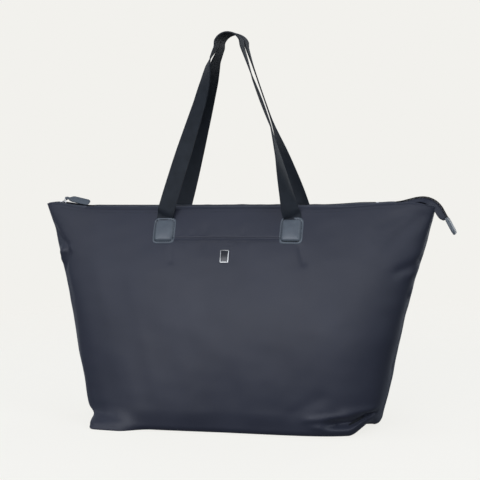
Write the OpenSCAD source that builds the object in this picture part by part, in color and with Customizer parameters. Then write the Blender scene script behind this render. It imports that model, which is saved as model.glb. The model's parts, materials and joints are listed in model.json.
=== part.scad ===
// Foldable tote bag: a boxed nylon shell with a recessed top zip, two webbing
// handles under leather patches, a stow pocket and a free zip tail.
// Frame: origin at the centre of the base on the resting plane, +Z up,
// +X towards the free zip tail, front towards -Y.

/* [Bag body] */
// Half width of the base, along X
base_half_x = 215; // [190:1:240]
// Half width of the top edge, along X
top_half_x = 292; // [270:1:310]
// Half depth of the base, along Y
base_half_y = 90; // [75:1:100]
// Half depth of the top edge, along Y
top_half_y = 26; // [25:0.5:32]
// Height of the shell up to its top edge
panel_top = 317; // [300:1:330]
// Thickness of the folded nylon wall
wall = 1.4; // [1:0.1:2]
// Radius of the soft lower edge
foot_radius = 9; // [5:1:12]

/* [Leather patches] */
// Distance of a patch centre from the middle, along X
patch_x = 95; // [85:1:105]
// Width of a patch
patch_w = 34; // [30:1:38]
// Lower edge of the patches
patch_low = 268; // [262:1:272]
// Upper edge of the patches
patch_high = 304; // [300:1:308]

/* [Handles] */
// Width of the webbing
webbing_w = 25; // [20:1:28]
// Thickness of the webbing
webbing_t = 1.8; // [1.5:0.1:2.5]
// Height of the top of a handle above the base
handle_top = 574; // [540:1:600]
// Bend radius at the top of a handle
handle_bend = 17; // [14:1:22]

/* [Zip] */
// Half width of the zip chain
chain_half = 3.1; // [2.8:0.1:3.4]
// Thickness of the zip chain
chain_t = 2.2; // [1.8:0.1:2.6]
// Rise of the zip from the left end to the right, in degrees
zip_rise = 0.5; // [0.5:0.1:1]
// Left end of the flaps that open
flap_left = -225; // [-230:1:-220]
// Right end of the flaps that open
flap_right = 172; // [165:1:174]
// Distance of the flap hinge lines from the middle, along Y
flap_y = 19.4; // [18.5:0.1:19.6]

/* [Pocket and badge] */
// Half width of the pocket mouth
pocket_half = 74; // [65:1:76]
// Height of the pocket mouth above the base
pocket_z = 275; // [270:1:280]
// Width of the plain badge
badge_w = 13; // [10:1:16]
// Height of the plain badge
badge_h = 19; // [15:1:22]

/* [Hidden] */

gap = 0.3;
navy = [0.22, 0.23, 0.28];
dark = [0.11, 0.12, 0.15];
leather = [0.36, 0.40, 0.44];
metal = [0.72, 0.73, 0.75];
lining = [0.28, 0.30, 0.36];

// Shell profile.
profile_top = 321;
flare_power = 1.36;
depth_power = 2.6;
corner_low = 4.3;
corner_high = 3.0;
foot_steps = 4;
ring_steps = 15;
turn_steps = 40;

// Zip levels and stations.
slider_x = -272;
slider_l = 13;
zip_left = -285;
tail_start = 236;
slider_z = 319.8;
hem_z = panel_top + 0.2;
hem_t = 1.2;
tape_t = 0.7;
tape_out = 7.8;
chain_gap = 0.6;
flap_edge_z = panel_top + 2.2;

// Puller stations, measured in the XZ plane from the slider.
ring_lift = 4.9;
ring_angle = 45;
ring_l = 9;
ring_w = 9;
ring_wire = 1.2;
puller_l = 35;
puller_w = 11;
puller_t = 2;
puller_slope = 12;

// Handle stations.
leg_z = patch_high + 2;
leg_run = handle_top - handle_bend - leg_z;
leg_y_low = 40;
leg_y_top = 13.5;
leg_steps = 22;
bend_steps = 14;
stitch_low = patch_low + 5;
stitch_high = patch_high - 0.5;

// Tail path in the XZ plane: a low hump, then a drop past the corner.
tail_hump = 9;
tail_drop_r = 31;

function share(z) = min(1, max(0, z / profile_top));
function foot_inset(z) =
    z >= foot_radius ? 0 : foot_radius - sqrt(pow(foot_radius, 2) - pow(foot_radius - z, 2));
function half_x(z) =
    base_half_x + (top_half_x - base_half_x) * pow(share(z), flare_power) - foot_inset(z);
function half_y(z) =
    top_half_y + (base_half_y - top_half_y) * (1 - pow(share(z), depth_power)) - foot_inset(z);
function corner(z) = corner_low + (corner_high - corner_low) * share(z);
function spow(v, p) = sign(v) * pow(abs(v), p);
function outline_point(z, t, inset) = [
    (half_x(z) - inset) * spow(cos(t), 2 / corner(z)),
    (half_y(z) - inset) * spow(sin(t), 2 / corner(z)),
    z];
function wall_y(x, z) =
    half_y(z) * pow(1 - pow(min(1, abs(x) / half_x(z)), corner(z)), 1 / corner(z));
function zip_z(x) = slider_z + (x - slider_x) * tan(zip_rise);
function mix(a, b, t) = a + (b - a) * t;
function ease(t) = t <= 0 ? 0 : t >= 1 ? 1 : t * t * (3 - 2 * t);

// Quads of a grid of rows by cols points, wound one way or the other.
function grid_faces(rows, cols, start, flip) = [
    for (r = [0 : rows - 2]) for (c = [0 : cols - 2])
        let (a = start + r * cols + c, b = a + 1, d = a + cols, e = d + 1)
        for (f = flip ? [[a, b, e], [a, e, d]] : [[a, e, b], [a, d, e]]) f];

// Edge quads that join two stacked grids.
function rim_faces(rows, cols) =
    let (n = rows * cols,
        loop = concat([for (c = [0 : cols - 1]) c],
            [for (r = [1 : rows - 1]) r * cols + cols - 1],
            [for (c = [cols - 2 : -1 : 0]) (rows - 1) * cols + c],
            [for (r = [rows - 2 : -1 : 1]) r * cols]))
    [for (i = [0 : len(loop) - 1])
        let (a = loop[i], b = loop[(i + 1) % len(loop)])
        for (f = [[a, b, b + n], [a, b + n, a + n]]) f];

// A closed slab between two grids of points of the same size.
module slab(outer, inner, rows, cols) {
    polyhedron(
        points = concat(outer, inner),
        faces = concat(grid_faces(rows, cols, 0, false),
            grid_faces(rows, cols, rows * cols, true), rim_faces(rows, cols)),
        convexity = 6);
}

ring_z = concat([for (i = [0 : foot_steps]) foot_radius * pow(i / (foot_steps + 1), 2)],
    [for (i = [0 : ring_steps]) mix(foot_radius, panel_top, i / ring_steps)]);

// One half of the shell, from side seam to side seam.
module half_shell(first) {
    seam = [0, first == 0 ? 0.05 : -0.05, 0];
    outer = [for (z = ring_z) for (i = [0 : turn_steps])
        outline_point(z, first + 180 * i / turn_steps, 0) + seam];
    inner = [for (z = ring_z) for (i = [0 : turn_steps])
        outline_point(z, first + 180 * i / turn_steps, wall) + seam];
    slab(outer, inner, len(ring_z), turn_steps + 1);
}

// A pad that follows the wall, between two distances from it.
// side is -1 for the front and 1 for the back; positive distances stand proud.
module wall_pad(side, x0, x1, z0, z1, near, far, nx = 6, nz = 5) {
    function at(d) = [for (i = [0 : nz]) for (j = [0 : nx])
        let (z = mix(z0, z1, i / nz), x = mix(x0, x1, j / nx))
        [x, side * (wall_y(x, z) + d), z]];
    a = side < 0 ? at(far) : at(near);
    b = side < 0 ? at(near) : at(far);
    slab(a, b, nz + 1, nx + 1);
}

module front_panel() {
    slit = 5;
    color(navy)
    difference() {
        half_shell(180);
        translate([-pocket_half, -70, pocket_z])
            cube([2 * pocket_half, 60, slit]);
    }
}

module back_panel() {
    color(navy) half_shell(0);
}

module base_panel() {
    inset = wall + 0.1;
    color(navy)
    linear_extrude(1.6)
        polygon([for (i = [0 : 95]) let (p = outline_point(0, i * 3.75, inset)) [p.x, p.y]]);
}

module base_binding() {
    low = 2;
    tall = 8;
    inset = wall + 2;
    color(dark)
    translate([0, 0, low])
        linear_extrude(tall)
            difference() {
                polygon([for (i = [0 : 71])
                    let (p = outline_point(low, i * 5, inset)) [p.x, p.y]]);
                polygon([for (i = [0 : 71])
                    let (p = outline_point(low, i * 5, inset + 1)) [p.x, p.y]]);
            }
}

// Tape bound over the raw edges of a side seam, inside the bag.
module side_binding(side) {
    half_w = 5;
    low = 11;
    high = 288;
    steps = 12;
    near = wall + 1.2;
    far = near + 0.8;
    function at(d) = [for (i = [0 : steps]) for (y = [-half_w, half_w])
        let (z = mix(low, high, i / steps)) [side * (half_x(z) - d), side * y, z]];
    slab(at(near), at(far), steps + 1, 2);
}

module side_binding_left() {
    color(dark) side_binding(-1);
}

module side_binding_right() {
    color(dark) side_binding(1);
}

// Strip inside the top edge that the zip bands and handles are sewn through.
module facing(side) {
    reach = 232;
    near = -wall - 1.1;
    wall_pad(side, -reach, reach, 291, panel_top - 1, near, near + 0.9, 30, 4);
}

module front_facing() {
    color(navy) facing(-1);
}

module back_facing() {
    color(navy) facing(1);
}

// Top edge turned in from the shell to the flap hinge line.
module top_hem(side) {
    steps = 48;
    inner_y = flap_y + 0.5;
    left_slot = tape_out + gap;
    right_open = 14;
    translate([0, 0, hem_z])
        linear_extrude(hem_t)
            difference() {
                polygon([for (i = [0 : steps])
                    let (p = outline_point(panel_top, side * (0.5 + 179 * i / steps), 0.2))
                    [p.x, p.y]]);
                translate([flap_left - gap, -inner_y])
                    square([tail_start - flap_left, 2 * inner_y]);
                translate([-top_half_x, -left_slot])
                    square([2 * top_half_x, 2 * left_slot]);
                translate([tail_start - 1, -right_open])
                    square([top_half_x, 2 * right_open]);
            }
}

module front_top_hem() {
    color(navy) top_hem(-1);
}

module back_top_hem() {
    color(navy) top_hem(1);
}

module pocket_welt() {
    color(navy) wall_pad(-1, -pocket_half - 3, pocket_half + 3, pocket_z - 8, pocket_z - 0.5,
        0.1, 1.1, 20, 2);
}

// Pouch behind the pocket mouth: a shallow tray that is open towards the panel.
module pocket_pouch() {
    low = 128;
    high = pocket_z + 8;
    half_w = pocket_half + 6;
    depth = 10;
    near = -wall - 0.3;
    rim = 1;
    color(lining)
    union() {
        wall_pad(-1, -half_w, half_w, low, high, -depth - 1, -depth, 16, 14);
        wall_pad(-1, -half_w, -half_w + rim, low, high, -depth - 0.5, near, 1, 14);
        wall_pad(-1, half_w - rim, half_w, low, high, -depth - 0.5, near, 1, 14);
        wall_pad(-1, -half_w, half_w, low, low + rim, -depth - 0.5, near, 16, 1);
        wall_pad(-1, -half_w, half_w, high - rim, high, -depth - 0.5, near, 16, 1);
    }
}

module badge_shape(w, h, r) {
    hull()
        for (x = [-1, 1]) for (y = [-1, 1])
            translate([x * (w / 2 - r), y * (h / 2 - r)]) circle(r, $fn = 24);
}

badge_z = pocket_z - 25;
badge_tilt = 22;

module badge_plate() {
    rim = 1.1;
    color(metal)
    translate([0, -wall_y(0, badge_z) - 1.3, badge_z])
        rotate([90 - badge_tilt, 0, 0])
            difference() {
                linear_extrude(1.6) badge_shape(badge_w, badge_h, 1.5);
                translate([0, 0, 1.1])
                    linear_extrude(1) badge_shape(badge_w - 2 * rim, badge_h - 2 * rim, 0.9);
            }
}

module badge_backing() {
    color(metal)
    translate([0, -wall_y(0, badge_z) + wall + 1.5, badge_z])
        rotate([90 - badge_tilt, 0, 0])
            linear_extrude(0.8) badge_shape(badge_w - 3, badge_h - 3, 1);
}

module patch(side, x) {
    wall_pad(side, x - patch_w / 2, x + patch_w / 2, patch_low, patch_high, 2.2, 3.6, 6, 6);
}

module patch_front_left() {
    color(leather) patch(-1, -patch_x);
}

module patch_front_right() {
    color(leather) patch(-1, patch_x);
}

module patch_back_left() {
    color(leather) patch(1, -patch_x);
}

module patch_back_right() {
    color(leather) patch(1, patch_x);
}

// Webbing ends stitched flat between the wall and the patches.
module handle_ends(side) {
    for (x = [-patch_x, patch_x])
        wall_pad(side, x - webbing_w / 2, x + webbing_w / 2, stitch_low, stitch_high,
            0.2, 0.2 + webbing_t, 4, 5);
}

module front_handle_ends() {
    color(dark) handle_ends(-1);
}

module back_handle_ends() {
    color(dark) handle_ends(1);
}

// Handle centre line: two straight legs that lean in to a round bend.
// u runs from 0 at the left patch to 1 at the right patch.
lean = atan2(patch_x - handle_bend, leg_run);
bend_sweep = 180 - 2 * lean;

function leg_point(t) = [mix(patch_x, handle_bend * cos(lean), t),
    mix(leg_y_low, leg_y_top, ease(t)), mix(leg_z, leg_z + leg_run, t)];
function bend_point(a) = [handle_bend * cos(a), leg_y_top, leg_z + leg_run + handle_bend * sin(a)];

// Twist of the strap from facing out of the bag to facing up at the bend.
function left_twist(t) = 15 * ease(t / 0.75) + 75 * ease((t - 0.72) / 0.28);
function right_twist(t) = 90 * ease(t / 0.42);

// Stations: centre, and twist of the width direction away from X towards Y.
function handle_stations() = concat(
    [for (i = [0 : leg_steps]) let (t = i / leg_steps, p = leg_point(t))
        [[-p.x, p.y, p.z], -lean, left_twist(t)]],
    [for (i = [1 : bend_steps - 1]) let (a = 180 - lean - bend_sweep * i / bend_steps)
        [bend_point(a), a - 180, 90]],
    [for (i = [leg_steps : -1 : 0]) let (t = i / leg_steps, p = leg_point(t))
        [p, -180 + lean, right_twist(t)]]);

// Section corners: width w along X turned towards Y, thickness across it.
function section(s, w, t) =
    let (c = s[0], tilt = s[1], twist = s[2],
        out = [-cos(tilt), 0, -sin(tilt)],
        along_w = [out.x * cos(twist) * (tilt < -90 ? -1 : 1), sin(twist), out.z * cos(twist)
            * (tilt < -90 ? -1 : 1)],
        run = [-sin(tilt), 0, cos(tilt)],
        normal = cross(run, along_w))
    [for (k = [[-1, -1], [1, -1], [1, 1], [-1, 1]])
        c + along_w * k[0] * w / 2 + normal * k[1] * t / 2];

module handle(side) {
    stations = handle_stations();
    n = len(stations);
    points = [for (s = stations) for (p = section(s, webbing_w, webbing_t)) p];
    sides = [for (i = [0 : n - 2]) for (k = [0 : 3])
        let (a = i * 4 + k, b = i * 4 + (k + 1) % 4, d = a + 4, e = b + 4)
        for (f = [[a, b, e], [a, e, d]]) f];
    caps = [[3, 2, 1, 0], [for (k = [0 : 3]) (n - 1) * 4 + k]];
    scale([1, side, 1])
        polyhedron(points = points, faces = concat(sides, caps), convexity = 8);
}

module front_handle() {
    color(dark) handle(-1);
}

module back_handle() {
    color(dark) handle(1);
}

// A straight run of zip parts that follows the rise of the zip.
module along_zip(x0, x1) {
    translate([x0, 0, zip_z(x0)])
        rotate([0, -zip_rise, 0])
            rotate([90, 0, 90])
                linear_extrude((x1 - x0) / cos(zip_rise)) children();
}

module chain_section() {
    translate([chain_gap, -chain_t / 2]) square([chain_half - chain_gap, chain_t]);
}

module tape_section() {
    translate([chain_half, -tape_t / 2]) square([tape_out - chain_half, tape_t]);
}

module both_sides() {
    children();
    mirror([0, 1, 0]) children();
}

module zip_tape_left() {
    color(dark) both_sides() along_zip(zip_left, flap_left - gap) tape_section();
}

module zip_chain_left() {
    color(dark) both_sides() along_zip(zip_left + 2, flap_left - gap) chain_section();
}

module zip_stop_left() {
    color(metal)
    along_zip(zip_left, zip_left + 1.9)
        translate([-chain_half, -chain_t / 2]) square([2 * chain_half, chain_t]);
}

module zip_tape_right() {
    color(dark) both_sides() along_zip(flap_right + gap, tail_start - gap) tape_section();
}

module zip_chain_right() {
    color(dark) both_sides() along_zip(flap_right + gap, tail_start - 26) chain_section();
}

module zip_stop_right() {
    color(metal)
    both_sides()
        along_zip(tail_start - 25.9, tail_start - 23)
            chain_section();
}

// Nylon strip from the hinge line of a flap to the zip tape.
module zip_band(side, x0, x1, steps) {
    function at(d) = [for (i = [0 : 2]) for (j = [0 : steps])
        let (x = mix(x0, x1, j / steps),
            y = [flap_y, 13, tape_out][i],
            z = [flap_edge_z, mix(flap_edge_z, zip_z(x), 0.6), zip_z(x) + 0.5][i])
        [x, side * y, z - d]];
    a = side < 0 ? at(0) : at(1);
    b = side < 0 ? at(1) : at(0);
    slab(b, a, 3, steps + 1);
}

module front_zip_band() {
    color(navy) zip_band(-1, flap_left, flap_right, 12);
}

module zip_band_right() {
    color(navy)
    for (side = [-1, 1])
        zip_band(side, flap_right + gap, tail_start - gap, 4);
}

module front_zip_tape() {
    color(dark) mirror([0, 1, 0]) along_zip(flap_left, flap_right) tape_section();
}

module front_zip_chain() {
    color(dark) mirror([0, 1, 0]) along_zip(flap_left, flap_right) chain_section();
}

module back_zip_band() {
    color(navy) zip_band(1, flap_left, flap_right, 12);
}

module back_zip_tape() {
    color(dark) along_zip(flap_left, flap_right) tape_section();
}

module back_zip_chain() {
    color(dark) along_zip(flap_left, flap_right) chain_section();
}

// Places children at the slider, in line with the zip.
module at_slider() {
    translate([slider_x, 0, zip_z(slider_x)]) rotate([0, -zip_rise, 0]) children();
}

module slider_plate(l, w, t) {
    linear_extrude(t)
        difference() {
            translate([-l / 2, -w / 2]) square([l, w]);
            for (y = [-1, 1])
                translate([l / 2, y * w / 2]) rotate(45) square([3, 3], center = true);
        }
}

module slider_body() {
    w = 9.4;
    plate_t = 1.3;
    channel = chain_t / 2 + 0.5;
    lip_in = chain_half + 0.4;
    lip_h = channel - 0.8;
    color(metal)
    at_slider() {
        for (m = [0, 1])
            mirror([0, 0, m]) {
                translate([0, 0, channel]) slider_plate(slider_l, w, plate_t);
                for (s = [0, 1])
                    mirror([0, s, 0])
                        translate([-slider_l / 2, lip_in, 0.8])
                            cube([slider_l - 2.4, w / 2 - lip_in, lip_h + 0.1]);
            }
        translate([-1, -0.25, -channel - 0.1])
            cube([4, 0.5, 2 * channel + 0.2]);
    }
}

module slider_bridge() {
    half_l = 4.6;
    base = chain_t / 2 + 0.5 + 1.3;
    tall = 3.9;
    color(metal)
    at_slider()
        translate([0, 1.1, base])
            rotate([90, 0, 0])
                linear_extrude(2.2)
                    difference() {
                        translate([-half_l, 0]) square([2 * half_l, tall]);
                        translate([-half_l + 1.1, -0.1]) square([2 * half_l - 2.2, tall - 1]);
                    }
}

// The ring hangs under the bridge by its near bar and leans up towards +X.
module pull_ring() {
    r = ring_wire / 2;
    half_w = ring_w / 2 - r;
    color(metal)
    translate([slider_x, 0, slider_z + ring_lift])
        rotate([0, -ring_angle, 0]) {
            for (x = [0, ring_l])
                translate([x, 0, 0])
                    rotate([90, 0, 0])
                        cylinder(r = r, h = 2 * half_w, center = true, $fn = 24);
            for (y = [-half_w, half_w])
                translate([0, y, 0])
                    rotate([0, 90, 0])
                        cylinder(r = r, h = ring_l, $fn = 24);
            for (x = [0, ring_l]) for (y = [-half_w, half_w])
                translate([x, y, 0]) sphere(r, $fn = 24);
        }
}

ring_end_x = slider_x + ring_l * cos(ring_angle);
ring_end_z = slider_z + ring_lift + ring_l * sin(ring_angle);

// Leather pull looped round the far bar of the ring.
module puller() {
    loop_r = ring_wire / 2 + gap;
    loop_w = ring_w - 2 * ring_wire - 2 * gap;
    color(leather)
    translate([ring_end_x, 0, ring_end_z])
        rotate([0, puller_slope, 0]) {
            rotate([90, 0, 0])
                difference() {
                    cylinder(r = loop_r + 1, h = loop_w, center = true, $fn = 32);
                    cylinder(r = loop_r, h = loop_w + 1, center = true, $fn = 32);
                }
            translate([loop_r + 0.8, -loop_w / 2, -puller_t / 2])
                cube([3, loop_w, puller_t]);
            translate([loop_r + 3.2, -puller_w / 2, -puller_t / 2])
                cube([puller_l - 5.5, puller_w, puller_t]);
            translate([loop_r + puller_l - 2.3, 0, -puller_t / 2])
                cylinder(r = puller_w / 2, h = puller_t, $fn = 48);
        }
}

// Tail path: hump beyond the hinge, round drop, then a short straight.
hump_end = 286;
drop_centre = [hump_end, zip_z(tail_start) + tail_hump - tail_drop_r];
drop_angle = 68;
tail_steps = 10;

function tail_path() = concat(
    [for (i = [0 : tail_steps]) let (t = i / tail_steps)
        [mix(tail_start, hump_end, t), zip_z(tail_start) + tail_hump * ease(t)]],
    [for (i = [1 : tail_steps]) let (a = 90 - drop_angle * i / tail_steps)
        drop_centre + tail_drop_r * [cos(a), sin(a)]]);

function tail_dir(path, i) =
    let (a = path[max(0, i - 1)], b = path[min(len(path) - 1, i + 1)], d = b - a)
    d / norm(d);

// A strip swept along the tail path, with a cross-section of [y, height] points.
module tail_strip(shape, first = 0) {
    path = tail_path();
    last = len(path) - 1;
    m = len(shape);
    points = [for (i = [first : last]) let (d = tail_dir(path, i), n = [-d.y, d.x])
        for (p = shape) [path[i].x + n.x * p.y, p.x, path[i].y + n.y * p.y]];
    rings = last - first + 1;
    sides = [for (i = [0 : rings - 2]) for (k = [0 : m - 1])
        let (a = i * m + k, b = i * m + (k + 1) % m, c = a + m, d = b + m)
        for (f = [[a, b, d], [a, d, c]]) f];
    caps = [[for (k = [m - 1 : -1 : 0]) k], [for (k = [0 : m - 1]) (rings - 1) * m + k]];
    polyhedron(points = points, faces = concat(sides, caps), convexity = 6);
}

module tail_band() {
    half_w = 13;
    fall = 5;
    t = 1;
    color(navy)
    tail_strip([[-half_w, -fall], [-half_w, -fall - t], [0, -t], [half_w, -fall - t],
        [half_w, -fall], [0, 0]]);
}

module tail_chain() {
    color(dark)
    tail_strip([[-chain_half, chain_t + 0.1], [-chain_half, 0.1], [chain_half, 0.1],
        [chain_half, chain_t + 0.1]], 1);
}

// Leather tab folded over the end of the tail.
module tail_tab() {
    path = tail_path();
    end = path[len(path) - 1];
    d = tail_dir(path, len(path) - 1);
    color(leather)
    translate([end.x, 0, end.y])
        rotate([0, atan2(-d.y, d.x), 0])
            translate([0.2, -12.5, -2])
                difference() {
                    cube([26, 25, 4]);
                    for (s = [0, 1])
                        translate([26, s * 25, -1]) rotate([0, 0, 45])
                            cube([4, 4, 12], center = true);
                }
}

front_panel();
back_panel();
base_panel();
base_binding();
side_binding_left();
side_binding_right();
front_facing();
back_facing();
front_top_hem();
back_top_hem();
pocket_welt();
pocket_pouch();
badge_plate();
badge_backing();
patch_front_left();
patch_front_right();
patch_back_left();
patch_back_right();
front_handle_ends();
back_handle_ends();
zip_tape_left();
zip_chain_left();
zip_stop_left();
zip_tape_right();
zip_chain_right();
zip_stop_right();
zip_band_right();
front_zip_band();
front_zip_tape();
front_zip_chain();
back_zip_band();
back_zip_tape();
back_zip_chain();
slider_body();
slider_bridge();
pull_ring();
puller();
tail_band();
tail_chain();
tail_tab();
front_handle();
back_handle();
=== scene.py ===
"""Foldable tote bag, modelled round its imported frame.

Cloth shell, pocket, badge, webbing handles with leather patches, zip with its slider and
pull, and the zip tail.
All lengths are in metres, in the frame's own axes: X to the right, Y to the back, Z up.
"""
import json
import logging
import math
from collections.abc import Callable
from dataclasses import dataclass, field
from enum import Enum

import bpy
import numpy as np
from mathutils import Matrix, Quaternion, Vector

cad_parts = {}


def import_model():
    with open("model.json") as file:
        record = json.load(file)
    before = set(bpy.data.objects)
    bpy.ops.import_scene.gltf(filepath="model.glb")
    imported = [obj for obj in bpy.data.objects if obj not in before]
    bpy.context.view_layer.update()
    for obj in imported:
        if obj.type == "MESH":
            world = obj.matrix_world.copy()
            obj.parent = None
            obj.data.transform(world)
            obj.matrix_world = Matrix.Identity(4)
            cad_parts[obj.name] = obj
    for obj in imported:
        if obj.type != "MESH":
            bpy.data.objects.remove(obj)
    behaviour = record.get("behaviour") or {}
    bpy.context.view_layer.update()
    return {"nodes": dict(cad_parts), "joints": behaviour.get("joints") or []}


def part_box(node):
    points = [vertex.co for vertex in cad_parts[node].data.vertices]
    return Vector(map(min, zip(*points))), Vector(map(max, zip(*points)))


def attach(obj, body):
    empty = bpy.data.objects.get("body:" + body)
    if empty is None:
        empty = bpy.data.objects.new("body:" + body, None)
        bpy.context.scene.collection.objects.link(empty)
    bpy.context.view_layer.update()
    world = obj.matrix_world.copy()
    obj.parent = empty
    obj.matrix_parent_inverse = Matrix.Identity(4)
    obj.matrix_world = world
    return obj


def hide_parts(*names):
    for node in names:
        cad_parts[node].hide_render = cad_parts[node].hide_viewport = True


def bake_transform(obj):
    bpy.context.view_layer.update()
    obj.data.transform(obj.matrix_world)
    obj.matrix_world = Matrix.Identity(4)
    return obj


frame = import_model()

LOG = logging.getLogger("tote")
MM = 0.001
Array = np.ndarray


class Side(Enum):
    """The half of the bag that a piece belongs to; the value is the sign of Y."""

    FRONT = -1
    BACK = 1

    @property
    def word(self) -> str:
        """The side's name in a piece name."""
        return self.name.lower()


class Hand(Enum):
    """Left or right of the middle; the value is the sign of X."""

    LEFT = -1
    RIGHT = 1

    @property
    def word(self) -> str:
        """The hand's name in a piece name."""
        return self.name.lower()


def ease(t: Array | float) -> Array:
    """Smooth step from 0 to 1.

    Args:
        t: Progress; values outside 0 to 1 are held.

    Returns:
        The eased progress.
    """
    c = np.clip(t, 0.0, 1.0)
    return c * c * (3 - 2 * c)


def unit(v: Array) -> Array:
    """Scales vectors to length one.

    Args:
        v: Vectors in the last axis.

    Returns:
        Vectors of the same shape.
    """
    return v / np.maximum(np.linalg.norm(v, axis=-1, keepdims=True), 1e-12)


def bump(t: Array, width: float) -> Array:
    """A bell of height one.

    Args:
        t: Distance from the crest.
        width: Distance at which the bell has fallen to about a third.

    Returns:
        The height at each distance.
    """
    return np.exp(-((t / width) ** 2))


def rounded(x: Array, stations: Array, values: Array, reach: float = 0.010) -> Array:
    """A line through a few values, with its corners rounded off.

    Args:
        x: Where it is read.
        stations: Where its values are given.
        values: The values.
        reach: How far each side of a point is averaged.

    Returns:
        The value at each x.
    """
    return sum(np.interp(x + step, stations, values)
               for step in np.linspace(-reach, reach, 9)) / 9


def joint(name: str) -> dict:
    """Finds a joint of the frame.

    Args:
        name: Its name.

    Returns:
        Its entry.
    """
    return next(one for one in frame["joints"] if one["name"] == name)


def toward(azimuth: float, elevation: float) -> Vector:
    """The direction from the bag to a camera or a light.

    Args:
        azimuth: Degrees round the bag; 0 is in front, 90 on its right.
        elevation: Degrees above the floor.

    Returns:
        A vector of length one.
    """
    a, e = math.radians(azimuth), math.radians(elevation)
    return Vector((math.sin(a) * math.cos(e), -math.cos(a) * math.cos(e), math.sin(e)))


# ------------------------------------------------------------------ bench


class Bench:
    """The modelling operations that every piece is made with."""

    @staticmethod
    def deselect() -> None:
        """Leaves nothing selected."""
        bpy.ops.object.select_all(action="DESELECT")

    @staticmethod
    def hold(obj: bpy.types.Object) -> None:
        """Selects one object alone and makes it active.

        Args:
            obj: The object to work on.
        """
        Bench.deselect()
        obj.select_set(True)
        bpy.context.view_layer.objects.active = obj

    @staticmethod
    def read(obj: bpy.types.Object) -> Array:
        """Reads a mesh's points.

        Args:
            obj: A mesh object.

        Returns:
            An array of points, one row each.
        """
        co = np.empty(len(obj.data.vertices) * 3)
        obj.data.vertices.foreach_get("co", co)
        return co.reshape(-1, 3)

    @staticmethod
    def write(obj: bpy.types.Object, points: Array) -> None:
        """Moves a mesh's points.

        Args:
            obj: A mesh object.
            points: Its new points, one row each.
        """
        obj.data.vertices.foreach_set("co", np.ascontiguousarray(points, dtype=float).ravel())
        obj.data.update()

    @staticmethod
    def apply(obj: bpy.types.Object, kind: str, **settings: object) -> None:
        """Adds a modifier and applies it.

        Args:
            obj: A mesh object.
            kind: Blender's name for the modifier type.
            **settings: The modifier's settings.
        """
        Bench.hold(obj)
        modifier = obj.modifiers.new(kind.title(), kind)
        for key, value in settings.items():
            setattr(modifier, key, value)
        bpy.ops.object.modifier_apply(modifier=modifier.name)

    @staticmethod
    def grid(name: str, size: tuple[float, float], cells: tuple[int, int]) -> bpy.types.Object:
        """A flat sheet of cloth, lying in XY round the origin, with its UVs in metres.

        Args:
            name: The piece's name.
            size: Length along X and width along Y.
            cells: Faces along X and along Y.

        Returns:
            The new object.
        """
        Bench.deselect()
        bpy.ops.mesh.primitive_grid_add(
            x_subdivisions=cells[0], y_subdivisions=cells[1], size=1, calc_uvs=True)
        obj = bpy.context.object
        obj.name = obj.data.name = name
        Bench.write(obj, Bench.read(obj) * [size[0], size[1], 1])
        uv = obj.data.uv_layers[0].data
        loops = np.empty(len(uv) * 2)
        uv.foreach_get("uv", loops)
        uv.foreach_set("uv", (loops.reshape(-1, 2) * size).ravel())
        return obj

    @staticmethod
    def thicken(obj: bpy.types.Object, thickness: float, offset: float = -1.0,
                even: bool = True) -> None:
        """Gives a sheet its thickness, with a closed rim.

        Args:
            obj: The sheet.
            thickness: In metres.
            offset: -1 puts it behind the face, 0 on both sides of it.
            even: Whether it keeps its thickness round a fold.
        """
        Bench.apply(obj, "SOLIDIFY", thickness=thickness, offset=offset, use_rim=True,
                    use_even_offset=even)

    @staticmethod
    def soften(obj: bpy.types.Object, angle: float = 40) -> None:
        """Shades a piece smooth, apart from its sharp edges.

        Args:
            obj: The piece.
            angle: The sharpest bend that still looks smooth, in degrees.
        """
        Bench.hold(obj)
        bpy.ops.object.shade_smooth_by_angle(angle=math.radians(angle))

    @staticmethod
    def block(name: str, size: tuple[float, float, float], cuts: int, bevel: float,
              segments: int = 2) -> bpy.types.Object:
        """A bevelled block round the origin.

        Args:
            name: The piece's name.
            size: Its lengths.
            cuts: Cuts across each face before the bevel.
            bevel: Width of the rounded edges.
            segments: Steps round each edge.

        Returns:
            The new object.
        """
        Bench.deselect()
        bpy.ops.mesh.primitive_cube_add(size=1)
        obj = bpy.context.object
        obj.name = obj.data.name = name
        Bench.write(obj, Bench.read(obj) * size)
        bpy.ops.object.mode_set(mode="EDIT")
        bpy.ops.mesh.select_all(action="SELECT")
        bpy.ops.mesh.bevel(offset=bevel, segments=segments, affect="EDGES")
        if cuts:
            bpy.ops.mesh.select_all(action="SELECT")
            bpy.ops.mesh.subdivide(number_cuts=cuts)
        bpy.ops.object.mode_set(mode="OBJECT")
        return obj

    @staticmethod
    def repeat(obj: bpy.types.Object, count: int, pitch: float) -> None:
        """Copies a piece in a row along X, centred on where it stood.

        Args:
            obj: The piece.
            count: How many there are in all.
            pitch: Distance from one to the next.
        """
        Bench.apply(obj, "ARRAY", count=count, use_relative_offset=False,
                    use_constant_offset=True, constant_offset_displace=(pitch, 0, 0))
        Bench.write(obj, Bench.read(obj) - [pitch * (count - 1) / 2, 0, 0])


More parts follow.
